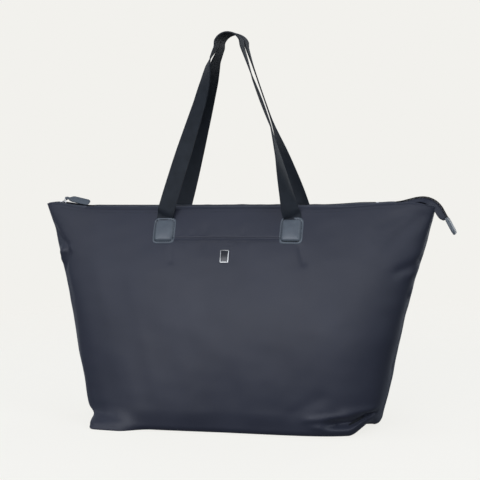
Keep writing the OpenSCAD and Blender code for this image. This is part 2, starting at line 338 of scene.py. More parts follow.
@dataclass
class Track:
    """A line with a frame at each point, that straight pieces are bent along.

    Attributes:
        points: Points of the line.
        normals: Which way is up at each point.
    """

    points: Array
    normals: Array
    reach: Array = field(init=False)

    def __post_init__(self) -> None:
        """Measures the line and squares up its frames."""
        steps = np.linalg.norm(np.diff(self.points, axis=0), axis=1)
        self.reach = np.concatenate([[0.0], np.cumsum(steps)])
        self.run = unit(np.gradient(self.points, self.reach, axis=0))
        n = self.normals - self.run * (self.normals * self.run).sum(1, keepdims=True)
        self.up = unit(n)
        self.across = np.cross(self.up, self.run)

    @property
    def length(self) -> float:
        """Length of the line."""
        return float(self.reach[-1])

    def pick(self, table: Array, s: Array) -> Array:
        """Reads a table of vectors at distances along the line."""
        return np.stack([np.interp(s, self.reach, table[:, k]) for k in range(3)], -1)

    def bend(self, obj: bpy.types.Object, lift: float = 0.0) -> None:
        """Bends a straight piece, centred on the origin along X, on to the line.

        Args:
            obj: The piece; its Y goes across the line and its Z up.
            lift: Extra height above the line.
        """
        co = Bench.read(obj)
        s = co[:, 0] + self.length / 2
        over = s - np.clip(s, 0, self.length)
        at = self.pick(self.points, s) + self.pick(self.run, s) * over[:, None]
        across, up = self.pick(self.across, s), self.pick(self.up, s)
        Bench.write(obj, at + across * co[:, 1:2] + up * (co[:, 2:3] + lift))


@dataclass(frozen=True)
class Ribbon:
    """A flat strip that follows a track.

    Attributes:
        width: Across the track.
        thickness: Through the strip.
        cell: Length of one face along the strip.
        across: Faces across the strip.
        crown: How much the middle stands above the edges.
    """

    width: float
    thickness: float
    cell: float = 3 * MM
    across: int = 6
    crown: float = 0.0

    def make(self, name: str, track: Track, offset: float = 0.0,
             ripple: Callable[[Array, Array], Array] | None = None,
             shape: Callable[[Array], Array] | None = None) -> bpy.types.Object:
        """Makes the strip.

        Args:
            name: The piece's name.
            track: The line that it follows.
            offset: -1 puts its thickness below the line, 0 on both sides of it.
            ripple: Height added at (distance along, place across from -1 to 1).
            shape: Share of the full width at each distance along.

        Returns:
            The new object.
        """
        cells = (max(2, round(track.length / self.cell)), self.across)
        obj = Bench.grid(name, (track.length, self.width), cells)
        co = Bench.read(obj)
        y = co[:, 1] / (self.width / 2)
        co[:, 2] = self.crown * (1 - y * y)
        along = co[:, 0] + track.length / 2
        if ripple:
            co[:, 2] += ripple(along, y)
        if shape:
            co[:, 1] *= shape(along)
        Bench.write(obj, co)
        track.bend(obj)
        Bench.thicken(obj, self.thickness, offset)
        Bench.soften(obj, 50)
        return obj


# ------------------------------------------------------------------ finishes


class Shader:
    """A material under construction, with short ways to add and join nodes."""

    def __init__(self, name: str) -> None:
        """Starts a material.

        Args:
            name: Its name.
        """
        self.material = bpy.data.materials.new(name)
        self.material.use_nodes = True
        self.tree = self.material.node_tree
        self.base = self.tree.nodes["Principled BSDF"]

    def node(self, kind: str, **values: object) -> bpy.types.Node:
        """Adds a node.

        Args:
            kind: Blender's node type.
            **values: Node properties in lower case, or input sockets as In_Name.

        Returns:
            The new node.
        """
        n = self.tree.nodes.new(kind)
        for key, value in values.items():
            if key.startswith("In_"):
                n.inputs[key[3:].replace("_", " ")].default_value = value
            else:
                setattr(n, key, value)
        return n

    def link(self, source: bpy.types.NodeSocket, target: bpy.types.NodeSocket) -> None:
        """Joins two sockets."""
        self.tree.links.new(source, target)

    def coordinates(self, kind: str) -> bpy.types.NodeSocket:
        """The piece's UV or Object coordinates."""
        return self.node("ShaderNodeTexCoord").outputs[kind]

    def waves(self, axis: str, pitch: float, source: bpy.types.NodeSocket,
              wobble: float = 0.0) -> bpy.types.NodeSocket:
        """Parallel ridges.

        Args:
            axis: The axis that the ridges follow one another along: X, Y or DIAGONAL.
            pitch: Distance from one ridge to the next.
            source: Coordinates in metres.
            wobble: How uneven the ridges are.

        Returns:
            Their height, from 0 to 1.
        """
        n = self.node("ShaderNodeTexWave", bands_direction=axis, In_Scale=math.tau / 20 / pitch,
                      In_Distortion=wobble)
        n.inputs["Detail Scale"].default_value = 0.3
        self.link(source, n.inputs["Vector"])
        return n.outputs["Fac"]

    def noise(self, size: float, source: bpy.types.NodeSocket, detail: float = 3.0,
              rough: float = 0.5) -> bpy.types.NodeSocket:
        """Soft blotches.

        Args:
            size: Their size in metres.
            source: Coordinates in metres.
            detail: Number of finer layers.
            rough: Strength of the finer layers.

        Returns:
            Their height, about 0.5 on average.
        """
        n = self.node("ShaderNodeTexNoise", In_Scale=1 / size, In_Detail=detail,
                      In_Roughness=rough)
        self.link(source, n.inputs["Vector"])
        return n.outputs["Fac"]

    def relief(self, layers: list[tuple[bpy.types.NodeSocket, float, float]]) -> None:
        """Stacks bumps on the surface.

        Args:
            layers: For each, its height, its depth in metres and its strength.
        """
        last = None
        for height, depth, strength in layers:
            n = self.node("ShaderNodeBump", In_Strength=strength, In_Distance=depth)
            self.link(height, n.inputs["Height"])
            if last:
                self.link(last, n.inputs["Normal"])
            last = n.outputs["Normal"]
        self.link(last, self.base.inputs["Normal"])

    def tint(self, factor: bpy.types.NodeSocket, low: tuple[float, ...],
             high: tuple[float, ...], span: tuple[float, float] = (0.3, 0.7)) -> None:
        """Colours the surface between two shades.

        Args:
            factor: Where it is, from 0 to 1.
            low: Shade at the start of the span.
            high: Shade at its end.
            span: The part of the factor that is used.
        """
        ramp = self.node("ShaderNodeValToRGB")
        for stop, place, shade in zip(ramp.color_ramp.elements, span, (low, high)):
            stop.position = place
            stop.color = (*shade, 1)
        self.link(factor, ramp.inputs["Fac"])
        self.link(ramp.outputs["Color"], self.base.inputs["Base Color"])

    def vary(self, socket: str, factor: bpy.types.NodeSocket, low: float, high: float) -> None:
        """Varies a number over the surface.

        Args:
            socket: The shader's input.
            factor: From 0 to 1.
            low: Value at 0.
            high: Value at 1.
        """
        n = self.node("ShaderNodeMapRange", In_To_Min=low, In_To_Max=high)
        self.link(factor, n.inputs["Value"])
        self.link(n.outputs["Result"], self.base.inputs[socket])

    def settings(self, **values: float | tuple[float, ...]) -> None:
        """Sets the shader's own sockets."""
        for key, value in values.items():
            self.base.inputs[key.replace("_", " ")].default_value = value


@dataclass(frozen=True)
class Cloth:
    """Woven nylon: a fine twill, with a satin face and faint crinkles.

    Attributes:
        name: Material name.
        low: Shade in the hollows of the weave.
        high: Shade on its face.
        rough: Lowest and highest roughness.
        weave: Pitch of the twill.
        depth: Depth of the twill.
        crinkle: Depth of the small crinkles.
        sheen: Strength of the fibres' sheen.
        gloss: Specular level.
    """

    name: str
    low: tuple[float, float, float]
    high: tuple[float, float, float]
    rough: tuple[float, float] = (0.50, 0.58)
    weave: float = 0.7 * MM
    depth: float = 0.03 * MM
    crinkle: float = 0.16 * MM
    sheen: float = 0.10
    gloss: float = 0.42

    def make(self) -> bpy.types.Material:
        """Builds the material."""
        s = Shader(self.name)
        uv, place = s.coordinates("UV"), s.coordinates("Object")
        blotch = s.noise(0.09, place, 4, 0.55)
        s.tint(blotch, self.low, self.high)
        s.vary("Roughness", s.noise(0.05, place, 2), *self.rough)
        s.relief([
            (s.noise(0.022, place, 2, 0.4), self.crinkle, 0.5),
            (s.waves("DIAGONAL", self.weave, uv, 0.4), self.depth, 0.35),
            (s.waves("X", self.weave * 0.6, uv), self.depth * 0.6, 0.25)])
        s.settings(Sheen_Weight=self.sheen, Sheen_Roughness=0.45,
                   Sheen_Tint=(0.75, 0.82, 1.0, 1), Specular_IOR_Level=self.gloss)
        return s.material


@dataclass(frozen=True)
class Webbing:
    """Ribbed strap webbing or binding tape.

    Attributes:
        name: Material name.
        low: Shade between the ribs.
        high: Shade on the ribs.
        rib: Pitch of the ribs along the strap.
        cord: Pitch of the cords across it.
        depth: Depth of the ribs.
        rough: Roughness.
        gloss: Specular level.
    """

    name: str
    low: tuple[float, float, float]
    high: tuple[float, float, float]
    rib: float = 1.5 * MM
    cord: float = 1.25 * MM
    depth: float = 0.14 * MM
    rough: float = 0.62
    gloss: float = 0.3

    def make(self) -> bpy.types.Material:
        """Builds the material."""
        s = Shader(self.name)
        uv, place = s.coordinates("UV"), s.coordinates("Object")
        ribs = s.waves("X", self.rib, uv, 0.2)
        s.tint(s.noise(0.012, place, 3), self.low, self.high)
        s.vary("Roughness", ribs, self.rough + 0.1, self.rough)
        s.relief([(s.noise(0.006, place, 2), 0.2 * MM, 0.3),
                  (s.waves("Y", self.cord, uv), self.depth, 0.5),
                  (ribs, self.depth, 0.6)])
        s.settings(Sheen_Weight=0.04, Sheen_Roughness=0.4, Specular_IOR_Level=self.gloss)
        return s.material


@dataclass(frozen=True)
class Leather:
    """Smooth leather with a fine pebble grain.

    Attributes:
        name: Material name.
        low: Shade in the hollows.
        high: Shade of the polished face.
        grain: Size of the pebbles.
        rough: Lowest and highest roughness.
    """

    name: str
    low: tuple[float, float, float]
    high: tuple[float, float, float]
    grain: float = 0.9 * MM
    rough: tuple[float, float] = (0.36, 0.5)

    def make(self) -> bpy.types.Material:
        """Builds the material."""
        s = Shader(self.name)
        place = s.coordinates("Object")
        pebbles = s.node("ShaderNodeTexVoronoi", feature="SMOOTH_F1", In_Scale=1 / self.grain)
        s.link(place, pebbles.inputs["Vector"])
        s.tint(s.noise(0.011, place, 4, 0.6), self.low, self.high)
        s.vary("Roughness", s.noise(0.004, place, 2), *self.rough)
        s.relief([(s.noise(0.005, place, 2), 0.25 * MM, 0.35),
                  (pebbles.outputs["Distance"], 0.09 * MM, 0.55)])
        s.settings(Specular_IOR_Level=0.55, Coat_Weight=0.12, Coat_Roughness=0.4)
        return s.material


@dataclass(frozen=True)
class Metal:
    """Plated metal with faint brushing and handling marks.

    Attributes:
        name: Material name.
        shade: Colour of the plating.
        rough: Lowest and highest roughness.
    """

    name: str
    shade: tuple[float, float, float]
    rough: tuple[float, float] = (0.18, 0.34)

    def make(self) -> bpy.types.Material:
        """Builds the material."""
        s = Shader(self.name)
        place = s.coordinates("Object")
        dull = tuple(c * 0.85 for c in self.shade)
        s.tint(s.noise(0.003, place, 3), dull, self.shade)
        s.vary("Roughness", s.noise(0.0015, place, 3), *self.rough)
        brush = s.node("ShaderNodeMapping", In_Scale=(0.08, 1, 1))
        s.link(place, brush.inputs["Vector"])
        s.relief([(s.noise(0.0004, brush.outputs["Vector"], 2), 0.01 * MM, 0.3)])
        s.settings(Metallic=1.0)
        return s.material


@dataclass(frozen=True)
class Enamel:
    """Coil plastic, thread and enamel: a small hard or shiny surface.

    Attributes:
        name: Material name.
        low: Darker shade.
        high: Lighter shade.
        rough: Roughness.
        twist: Pitch of the fine ridges.
        gloss: Specular level.
    """

    name: str
    low: tuple[float, float, float]
    high: tuple[float, float, float]
    rough: float = 0.35
    twist: float = 0.5 * MM
    gloss: float = 0.5

    def make(self) -> bpy.types.Material:
        """Builds the material."""
        s = Shader(self.name)
        place = s.coordinates("Object")
        s.tint(s.noise(0.004, place, 2), self.low, self.high)
        s.vary("Roughness", s.noise(0.002, place, 2), self.rough * 0.85, self.rough * 1.15)
        s.relief([(s.noise(self.twist, place, 2), 0.03 * MM, 0.3)])
        s.settings(Specular_IOR_Level=self.gloss)
        return s.material


class Finish(Enum):
    """Every finish on the bag, with the record's slot that it belongs to."""

    NYLON = ("nylon", Cloth("navy_nylon", (0.0240, 0.0270, 0.0425), (0.0280, 0.0315, 0.0500)))
    POUCH = ("pouch_nylon", Cloth("lining_nylon", (0.050, 0.055, 0.075), (0.062, 0.068, 0.090),
                                  crinkle=0.8 * MM))
    BINDING = ("binding", Webbing("binding_tape", (0.010, 0.011, 0.015), (0.016, 0.018, 0.023),
                                  rib=0.9 * MM, cord=2.2 * MM, depth=0.08 * MM))
    WEBBING = ("webbing", Webbing("strap_webbing", (0.0108, 0.0144, 0.0205),
                                  (0.0154, 0.0203, 0.0280)))
    LEATHER = ("leather", Leather("slate_leather", (0.082, 0.099, 0.122), (0.108, 0.129, 0.154)))
    TAPE = ("zip_tape", Webbing("zip_tape_weave", (0.010, 0.011, 0.015), (0.016, 0.018, 0.024),
                                rib=0.8 * MM, cord=0.8 * MM, depth=0.06 * MM))
    COIL = ("zip_coil", Enamel("zip_coil_nylon", (0.006, 0.007, 0.009), (0.009, 0.010, 0.013),
                               rough=0.6, gloss=0.2))
    METAL = ("zip_metal", Metal("nickel_plate", (0.60, 0.60, 0.61)))
    BADGE = ("badge_metal", Metal("badge_plate", (0.72, 0.72, 0.71), (0.25, 0.4)))
    ENAMEL = ("badge_metal", Enamel("badge_enamel", (0.020, 0.022, 0.028),
                                    (0.028, 0.030, 0.038), rough=0.3))
    THREAD = ("nylon", Enamel("sewing_thread", (0.016, 0.019, 0.027), (0.026, 0.031, 0.042),
                              rough=0.6, twist=0.3 * MM))
    EDGE_THREAD = ("leather", Enamel("patch_thread", (0.012, 0.014, 0.019),
                                     (0.020, 0.023, 0.031), rough=0.55, twist=0.3 * MM))

    @property
    def slot(self) -> str:
        """The record's slot name."""
        return self.value[0]


class Workshop:
    """Dresses finished pieces and puts them on their bodies."""

    def __init__(self) -> None:
        """Mixes every finish."""
        self.materials = {finish: finish.value[1].make() for finish in Finish}

    def dress(self, obj: bpy.types.Object, finish: Finish) -> None:
        """Gives a piece its material.

        Args:
            obj: The piece, or a CAD node.
            finish: Its finish.
        """
        obj.data.materials.clear()
        obj.data.materials.append(self.materials[finish])

    def hand_in(self, obj: bpy.types.Object, finish: Finish, body: str | tuple[str, str],
                *nodes: str, across: tuple[Array, Array] | None = None) -> bpy.types.Object:
        """Dresses a piece, and puts it on its body unless it joins two bodies.

        Args:
            obj: The piece.
            finish: Its finish.
            body: The body that it rides on, or the two that it joins.
            *nodes: The CAD nodes that it stands for.
            across: Given for a piece that joins two bodies; its values are not used. Such a piece
                is put on neither body, and its transform is baked.

        Returns:
            The same object.
        """
        self.dress(obj, finish)
        if nodes:
            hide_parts(*nodes)
        if across is None:
            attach(obj, body)
        else:
            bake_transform(obj)
        LOG.info("%s: %d faces", obj.name, len(obj.data.polygons))
        return obj

    def finish_node(self, name: str, finish: Finish) -> None:
        """Dresses a CAD node that stays in view.

        Args:
            name: The node's name.
            finish: Its finish.
        """
        obj = frame["nodes"][name]
        for slot in obj.material_slots:
            slot.material = self.materials[finish]
        if not obj.material_slots:
            self.dress(obj, finish)


# ------------------------------------------------------------------ the wall


@dataclass(frozen=True)
class WallForm:
    """The shell's shape: a boxed base that narrows in depth and widens towards the zip.

    Attributes:
        base_half_x: Half width at the base.
        top_half_x: Half width at the top.
        base_half_y: Half depth at the base.
        top_half_y: Half depth at the top.
        rim: Height of the panels.
        profile_top: Height at which the profile ends.
        flare: How the width grows with height.
        depth: How the depth shrinks with height.
        corner_low: How square the corners are at the base.
        corner_high: How square they are at the top.
        foot: Radius of the turn on to the base.
    """

    base_half_x: float = 0.215
    top_half_x: float = 0.292
    base_half_y: float = 0.090
    top_half_y: float = 0.026
    rim: float = 0.317
    profile_top: float = 0.321
    flare: float = 1.36
    depth: float = 2.6
    corner_low: float = 4.3
    corner_high: float = 3.0
    foot: float = 0.009

    def share(self, z: Array) -> Array:
        """Height as a share of the profile."""
        return np.clip(z / self.profile_top, 0, 1)

    def tuck(self, z: Array) -> Array:
        """How far the wall is drawn in by the turn on to the base."""
        low = np.clip(self.foot - z, 0, self.foot)
        return self.foot - np.sqrt(self.foot ** 2 - low ** 2)

    def half_x(self, z: Array) -> Array:
        """Half width at a height."""
        grown = (self.top_half_x - self.base_half_x) * self.share(z) ** self.flare
        return self.base_half_x + grown - self.tuck(z)

    def half_y(self, z: Array) -> Array:
        """Half depth at a height."""
        left = (self.base_half_y - self.top_half_y) * (1 - self.share(z) ** self.depth)
        return self.top_half_y + left - self.tuck(z)

    def corner(self, z: Array) -> Array:
        """Squareness of the corners at a height."""
        return self.corner_low + (self.corner_high - self.corner_low) * self.share(z)

    def level(self, z: float, count: int) -> tuple[Array, Array, float]:
        """The outline from the left seam round to the right one, in even steps.

        Args:
            z: Its height.
            count: Number of points.

        Returns:
            X and the distance from the XZ plane of each point, and half the outline's length.
        """
        w = np.linspace(-1, 1, 3001)
        turn = math.pi / 2 * (1 + np.sign(w) * (1 - (1 - np.abs(w)) ** 3))
        power = 2 / self.corner(z)
        x = -self.half_x(z) * np.sign(np.cos(turn)) * np.abs(np.cos(turn)) ** power
        y = self.half_y(z) * np.abs(np.sin(turn)) ** power
        reach = np.concatenate([[0], np.cumsum(np.hypot(np.diff(x), np.diff(y)))])
        even = np.linspace(0, reach[-1], count)
        return np.interp(even, reach, x), np.interp(even, reach, y), reach[-1] / 2

    def ring(self, z: float, inset: float, count: int) -> Array:
        """A closed outline round both halves.

        Args:
            z: Its height.
            inset: Distance inside the wall.
            count: Points on each half.

        Returns:
            Its points; the last repeats the first.
        """
        x, y, _ = self.level(z, count)
        shrink_x = 1 - inset / self.half_x(z)
        shrink_y = 1 - inset / self.half_y(z)
        front = np.stack([x * shrink_x, -y * shrink_y, np.full(count, z)], -1)
        back = front[::-1] * [1, -1, 1]
        return np.concatenate([front, back[1:]])


@dataclass(frozen=True)
class Fold:
    """A crease or a ridge in the cloth, along a straight line on the wall.

    Attributes:
        start: (distance from the middle of the half, height) where it starts, in millimetres.
        end: Where it ends.
        rise: Height of its crest in millimetres; negative for a crease.
        width: Distance at which it has faded, in millimetres.
        fade: Share of its length over which each end fades.
        sharp: 1 for a rounded fold; a larger number gives one a steeper lower side.
    """

    start: tuple[float, float]
    end: tuple[float, float]
    rise: float
    width: float
    fade: float = 0.35
    sharp: float = 1.0

    def lift(self, a: Array, z: Array) -> Array:
        """Height of the fold.

        Args:
            a: Distances from the middle of the half.
            z: Heights.

        Returns:
            How far each point moves out.
        """
        p, q = np.array(self.start) * MM, np.array(self.end) * MM
        run = q - p
        length = math.hypot(*run)
        along = ((a - p[0]) * run[0] + (z - p[1]) * run[1]) / length
        off = ((a - p[0]) * -run[1] + (z - p[1]) * run[0]) / length
        width = self.width * MM * np.where(off > 0, 1.0, 1 / self.sharp)
        t = along / length
        ends = ease(t / self.fade + 0.5) * ease((1 - t) / self.fade + 0.5)
        return self.rise * MM * ends * bump(off, width)


@dataclass(frozen=True)
class Belly:
    """A broad swelling or hollow of the cloth.

    Attributes:
        centre: (distance from the middle of the half, height), in millimetres.
        size: Half lengths along and up, in millimetres.
        rise: Height in millimetres.
    """

    centre: tuple[float, float]
    size: tuple[float, float]
    rise: float

    def lift(self, a: Array, z: Array) -> Array:
        """Height of the swelling.

        Args:
            a: Distances from the middle of the half.
            z: Heights.

        Returns:
            How far each point moves out.
        """
        da = (a - self.centre[0] * MM) / (self.size[0] * MM)
        dz = (z - self.centre[1] * MM) / (self.size[1] * MM)
        return self.rise * MM * np.exp(-da * da - dz * dz)


FRONT_FOLDS = (
    # Broad slack of the cloth.
    Belly((-196, 45), (56, 75), -6.0),
    Belly((30, 130), (130, 80), 2.5),
    Belly((-180, 180), (50, 70), -1.5),
    Belly((170, 120), (60, 80), 1.5),
    # Left side: the gusset folded in below the zip end.
    Fold((-284, 286), (-246, 254), -3.0, 7),
    Fold((-266, 250), (-242, 257), 2.6, 5),
    Fold((-246, 256), (-262, 228), -3.4, 6),
    Fold((-256, 262), (-268, 236), 2.4, 6),
    Fold((-262, 232), (-243, 180), -1.6, 9),
    Fold((-243, 180), (-232, 60), -1.2, 10),
    # Right side: drag lines from the seam.
    Fold((293, 246), (240, 229), -2.4, 7),
    Fold((293, 234), (262, 222), 1.6, 6),
    Fold((296, 216), (274, 194), 2.4, 5),
    Fold((296, 206), (280, 188), -2.2, 5),
    Fold((291, 128), (282, 98), 2.0, 7),
    Fold((291, 112), (270, 84), -1.4, 8),
    # Below the zip tail.
    Fold((282, 308), (226, 262), -1.3, 9),
    Fold((268, 312), (215, 290), -0.9, 7),
    # Under the patches and the pocket.
    Fold((107, 268), (117, 240), -1.6, 4.5),
    Fold((-84, 262), (-80, 240), -0.7, 5),
    # The pocket's mouth.
    Fold((-82, 275.5), (82, 275.5), -1.6, 1.5, 0.04),
    # Bottom left: the corner folded over the base seam.
    Fold((-224, 17), (-196, 9), 3.4, 5.5, 0.3),
    Fold((-206, 9), (-150, 10), 2.4, 5, 0.4),
    Fold((-214, 24), (-160, 20), -1.6, 7),
    # Bottom right: a deep tuck between two ridges.
    Fold((156, 17), (228, 20), -13.0, 8.5, 0.45, 2.2),
    Fold((122, 25), (184, 32), 2.4, 5),
    Fold((170, 36), (226, 38), 1.6, 6),
    Fold((130, 15), (200, 12), 2.6, 5),
    Fold((96, 30), (150, 60), -1.2, 10),
)

BACK_FOLDS = (
    Belly((40, 110), (140, 80), 3.0),
    Belly((-150, 60), (70, 60), -3.0),
    Belly((170, 70), (60, 60), -2.5),
    Fold((-292, 250), (-240, 226), -2.4, 8),
    Fold((292, 240), (246, 262), -2.2, 8),
    Fold((-286, 305), (-236, 280), -1.8, 8),
    Fold((280, 300), (214, 270), -1.4, 9),
    Fold((-110, 268), (-122, 236), -1.3, 6),
    Fold((104, 268), (112, 234), -1.2, 6),
    Fold((-222, 14), (-170, 30), 2.4, 6),
    Fold((160, 24), (222, 18), -4.0, 7),
    Fold((150, 36), (215, 34), 1.8, 6),
)


LEFT_SWELL = ((0, -1), (12, -0.5), (29, 4.5), (47, 6), (64, 6.5), (82, 7.5), (99, 8.5),
              (117, 7.5), (134, 6), (152, 4.5), (187, 4), (240, 2.5), (275, 3), (293, 3.5),
              (311, 6), (325, 7))
RIGHT_SWELL = ((0, -3), (12, -3), (29, 0), (47, 3), (64, 4), (99, 3.3), (134, 4.3), (160, 3),
               (187, 4), (205, 3), (222, 3.2), (240, 5.5), (257, 6), (275, 4.8), (293, 4.2),
               (311, 3), (325, 2))


class Skin:
    """The outside of one half of the shell, as a fine table of points with its folds."""

    columns = 521
    drift_from = 0.200
    swell_from, swell_over = 0.45, 0.5
    turn_top = 0.150
    foot_top, foot_draw = 0.034, 0.004
    ear_y, ear_share, ear_slide = -0.104, 0.9, -0.277
    pinch_z, pinch_width, pinch_in, pinch_out = 0.018, 0.006, 0.009, 0.004
    lift_top, lift_rise = 0.045, 0.016
    mouth_above, mouth_below = 0.2775, 0.2735

    def __init__(self, form: WallForm, side: Side, folds: tuple[Fold | Belly, ...]) -> None:
        """Lofts the half and folds it.

        Args:
            form: The shell's shape.
            side: Which half.
            folds: Its folds.
        """
        self.form, self.side = form, side
        foot = form.foot * (1 - np.cos(np.linspace(0, math.pi / 2, 9)))
        self.z = np.concatenate([
            foot[:-1], np.linspace(form.foot, 0.266, 130)[:-1],
            np.linspace(0.266, 0.284, 25)[:-1], np.linspace(0.284, form.rim, 26)])
        levels = [form.level(z, self.columns) for z in self.z]
        x = np.array([one[0] for one in levels])
        y = np.array([one[1] for one in levels])
        self.half = np.array([one[2] for one in levels])
        flat = np.stack([x, side.value * y, np.repeat(self.z[:, None], self.columns, 1)], -1)
        a = np.linspace(-1, 1, self.columns)[None] * self.half[:, None]
        z = flat[..., 2]
        out = self.facing(flat)
        lift = sum(fold.lift(a, z) for fold in folds)
        lift += self.slack(a, z)
        if side is Side.FRONT:
            lift += self.puckers(a, z)
        edge = 1 - bump(self.half[:, None] - np.abs(a), 0.008)
        held = 1 - ease((z - form.rim + 0.016) / 0.016)
        grounded = ease(z / 0.004)
        self.points = flat + out * (lift * edge * held * grounded)[..., None]
        self.settle()
        self.normals = self.facing(self.points)

    def facing(self, points: Array) -> Array:
        """Outward normals of the table.

        Args:
            points: The table.

        Returns:
            A normal for each point.
        """
        across = np.gradient(points, axis=1)
        up = np.gradient(points, axis=0)
        return unit(np.cross(across, up) * -self.side.value)

    def slack(self, a: Array, z: Array) -> Array:
        """The cloth's own gentle unevenness.

        Args:
            a: Distances from the middle of the half.
            z: Heights.

        Returns:
            How far each point moves out.
        """
        dice = np.random.RandomState(11 + self.side.value)
        total = np.zeros_like(z)
        for size, depth in ((0.16, 0.3), (0.09, 0.24), (0.05, 0.14), (0.028, 0.07)):
            for _ in range(6):
                heading, phase = dice.uniform(0, math.pi), dice.uniform(0, math.tau)
                wave = math.tau / (size * dice.uniform(0.8, 1.25))
                total += depth * MM * np.sin(
                    wave * (a * math.cos(heading) + z * math.sin(heading)) + phase) / 2
        return total

    def puckers(self, a: Array, z: Array) -> Array:
        """Small upright gathers above and below the pocket's mouth.

        Args:
            a: Distances from the middle of the half.
            z: Heights.

        Returns:
            How far each point moves out.
        """
        dice = np.random.RandomState(5)
        total = np.zeros_like(z)
        for _ in range(17):
            place, long = dice.uniform(-0.076, 0.09), dice.uniform(0.010, 0.026)
            deep, wide = dice.uniform(0.25, 0.7) * MM, dice.uniform(1.6, 4.5) * MM
            above = dice.uniform() < 0.5
            near = np.where(above, z - self.mouth_above, self.mouth_below - z)
            total -= deep * bump(a - place - 0.1 * near, wide) * ease(near / 0.003) * (
                1 - ease(near / long))
        return total

    def settle(self) -> None:
        """Sets the half down: the ends swell, the corners turn and the top edge drifts."""
        p = self.points
        height = p[..., 2].copy()
        weight = ease((height - self.drift_from) / (self.form.rim - self.drift_from)) ** 1.5
        p[..., 2] += weight * Rim.drift(p[..., 0])
        share = p[..., 0] / self.form.half_x(height)
        for hand, table in ((Hand.LEFT, LEFT_SWELL), (Hand.RIGHT, RIGHT_SWELL)):
            heights, swell = np.array(table).T * MM
            shift = rounded(height, heights, swell) * hand.value
            p[..., 0] += shift * ease((share * hand.value - self.swell_from) / self.swell_over)
        low = 1 - ease(height / self.foot_top)
        p[..., 1] -= (1 - ease(height / self.turn_top)) * self.base_turn(p[..., 0])
        p[..., 1] -= self.side.value * self.foot_draw * low
        ear = ease((-p[..., 0] - 0.105) / 0.055) * ease((-p[..., 1] - 0.015) / 0.045)
        push = self.ear_share * ear * low * (self.ear_y - p[..., 1])
        p[..., :2] += push[..., None] * [self.ear_slide, 1]
        pinch = self.pinch_in * bump(height - self.pinch_z, self.pinch_width)
        pinch = pinch - self.pinch_out * bump(height, self.pinch_width)
        p[..., 0] += pinch * ease((-p[..., 0] - 0.165) / 0.030) * ease((0.01 - p[..., 1]) / 0.03)
        p[..., 2] += self.corner_lift(p) * (1 - ease(height / self.lift_top))

    @staticmethod
    def base_turn(x: Array) -> Array:
        """How far forward the base has turned, which is most on its left."""
        turn = np.clip(-x / 0.2, -1, 1)
        return np.where(turn > 0, 0.012, 0.005) * turn

    @classmethod
    def corner_lift(cls, p: Array) -> Array:
        """How far the base's right front corner is lifted.

        Args:
            p: Points of the base's edge.

        Returns:
            The lift at each point.
        """
        side = ease((p[..., 0] - 0.178) / 0.030)
        return cls.lift_rise * side * ease((0.02 - p[..., 1]) / 0.06)

    def sample(self, table: Array, u: Array, z: Array) -> Array:
        """Reads a table between its points.

        Args:
            table: Points or normals.
            u: Place along the half, from 0 at the left seam to 1 at the right one.
            z: Height before the cloth settles.

        Returns:
            The values there.
        """
        c = np.clip(np.asarray(u) * (self.columns - 1), 0, self.columns - 1.001)
        r = np.interp(z, self.z, np.arange(len(self.z)))
        r = np.clip(r, 0, len(self.z) - 1.001)
        i, j = r.astype(int), c.astype(int)
        fr, fc = (r - i)[..., None], (c - j)[..., None]
        top = table[i + 1, j] * (1 - fc) + table[i + 1, j + 1] * fc
        low = table[i, j] * (1 - fc) + table[i, j + 1] * fc
        return low * (1 - fr) + top * fr

    def place(self, a: Array, z: Array, lift: Array | float = 0.0) -> Array:
        """Points on or over the cloth.

        Args:
            a: Distances from the middle of the half.
            z: Heights.
            lift: Distances out from the cloth.

        Returns:
            The points.
        """
        a, z = np.broadcast_arrays(np.asarray(a, float), np.asarray(z, float))
        u = 0.5 + a / (2 * np.interp(z, self.z, self.half))
        out = unit(self.sample(self.normals, u, z))
        return self.sample(self.points, u, z) + out * np.asarray(lift)[..., None]

    def track(self, a: Array, z: Array, lift: float = 0.0) -> Track:
        """A line over the cloth, with the cloth's normal as its up.

        Args:
            a: Distances from the middle of the half.
            z: Heights.
            lift: Distance out from the cloth.

        Returns:
            The line.
        """
        return Track(self.place(a, z, lift), self.place(a, z, 1.0) - self.place(a, z, 0.0))

    def panel(self, name: str, cells: tuple[int, int], thickness: float) -> bpy.types.Object:
        """Makes the half's cloth.

        Args:
            name: The piece's name.
            cells: Faces along and up.
            thickness: Of the cloth.

        Returns:
            The new object.
        """
        size = (2 * float(self.half.max()), self.form.rim)
        obj = Bench.grid(name, size, cells)
        co = Bench.read(obj)
        u = 0.5 - self.side.value * co[:, 0] / size[0]
        row = (co[:, 1] / size[1] + 0.5) * (len(self.z) - 1)
        z = np.interp(row, np.arange(len(self.z)), self.z)
        Bench.write(obj, self.sample(self.points, np.clip(u, 0, 1), z))
        Bench.thicken(obj, thickness)
        Bench.soften(obj, 60)
        return obj


class Rim:
    """The line of the bag's top: where the panels end and how the zip runs."""

    stations = np.array([-292, -284, -274, -240, -205, -120, 0, 90, 136, 180, 211, 241, 262,
                         276, 286, 292]) * MM
    rises = np.array([5.5, 7.5, 7.0, 2.0, -0.8, -1.2, 1.0, 1.0, -0.4, 2.1, 4.9, 6.2, 7.0, 5.2,
                      1.8, -1.0]) * MM
    sag_stations = np.array([-285, -272, -240, -205, -120, 0, 70, 136, 165, 185, 236]) * MM
    sags = np.array([0, 0, -1.8, -3.0, -2.6, -1.8, -2.4, -2.8, -1.4, 0, 0]) * MM

    @classmethod
    def drift(cls, x: Array) -> Array:
        """How far the panels' top edge stands over its level line."""
        return rounded(x, cls.stations, cls.rises)

    @classmethod
    def sag(cls, x: Array) -> Array:
        """How far the closed zip hangs under its straight line."""
        return rounded(x, cls.sag_stations, cls.sags)


# ------------------------------------------------------------------ sub-assemblies


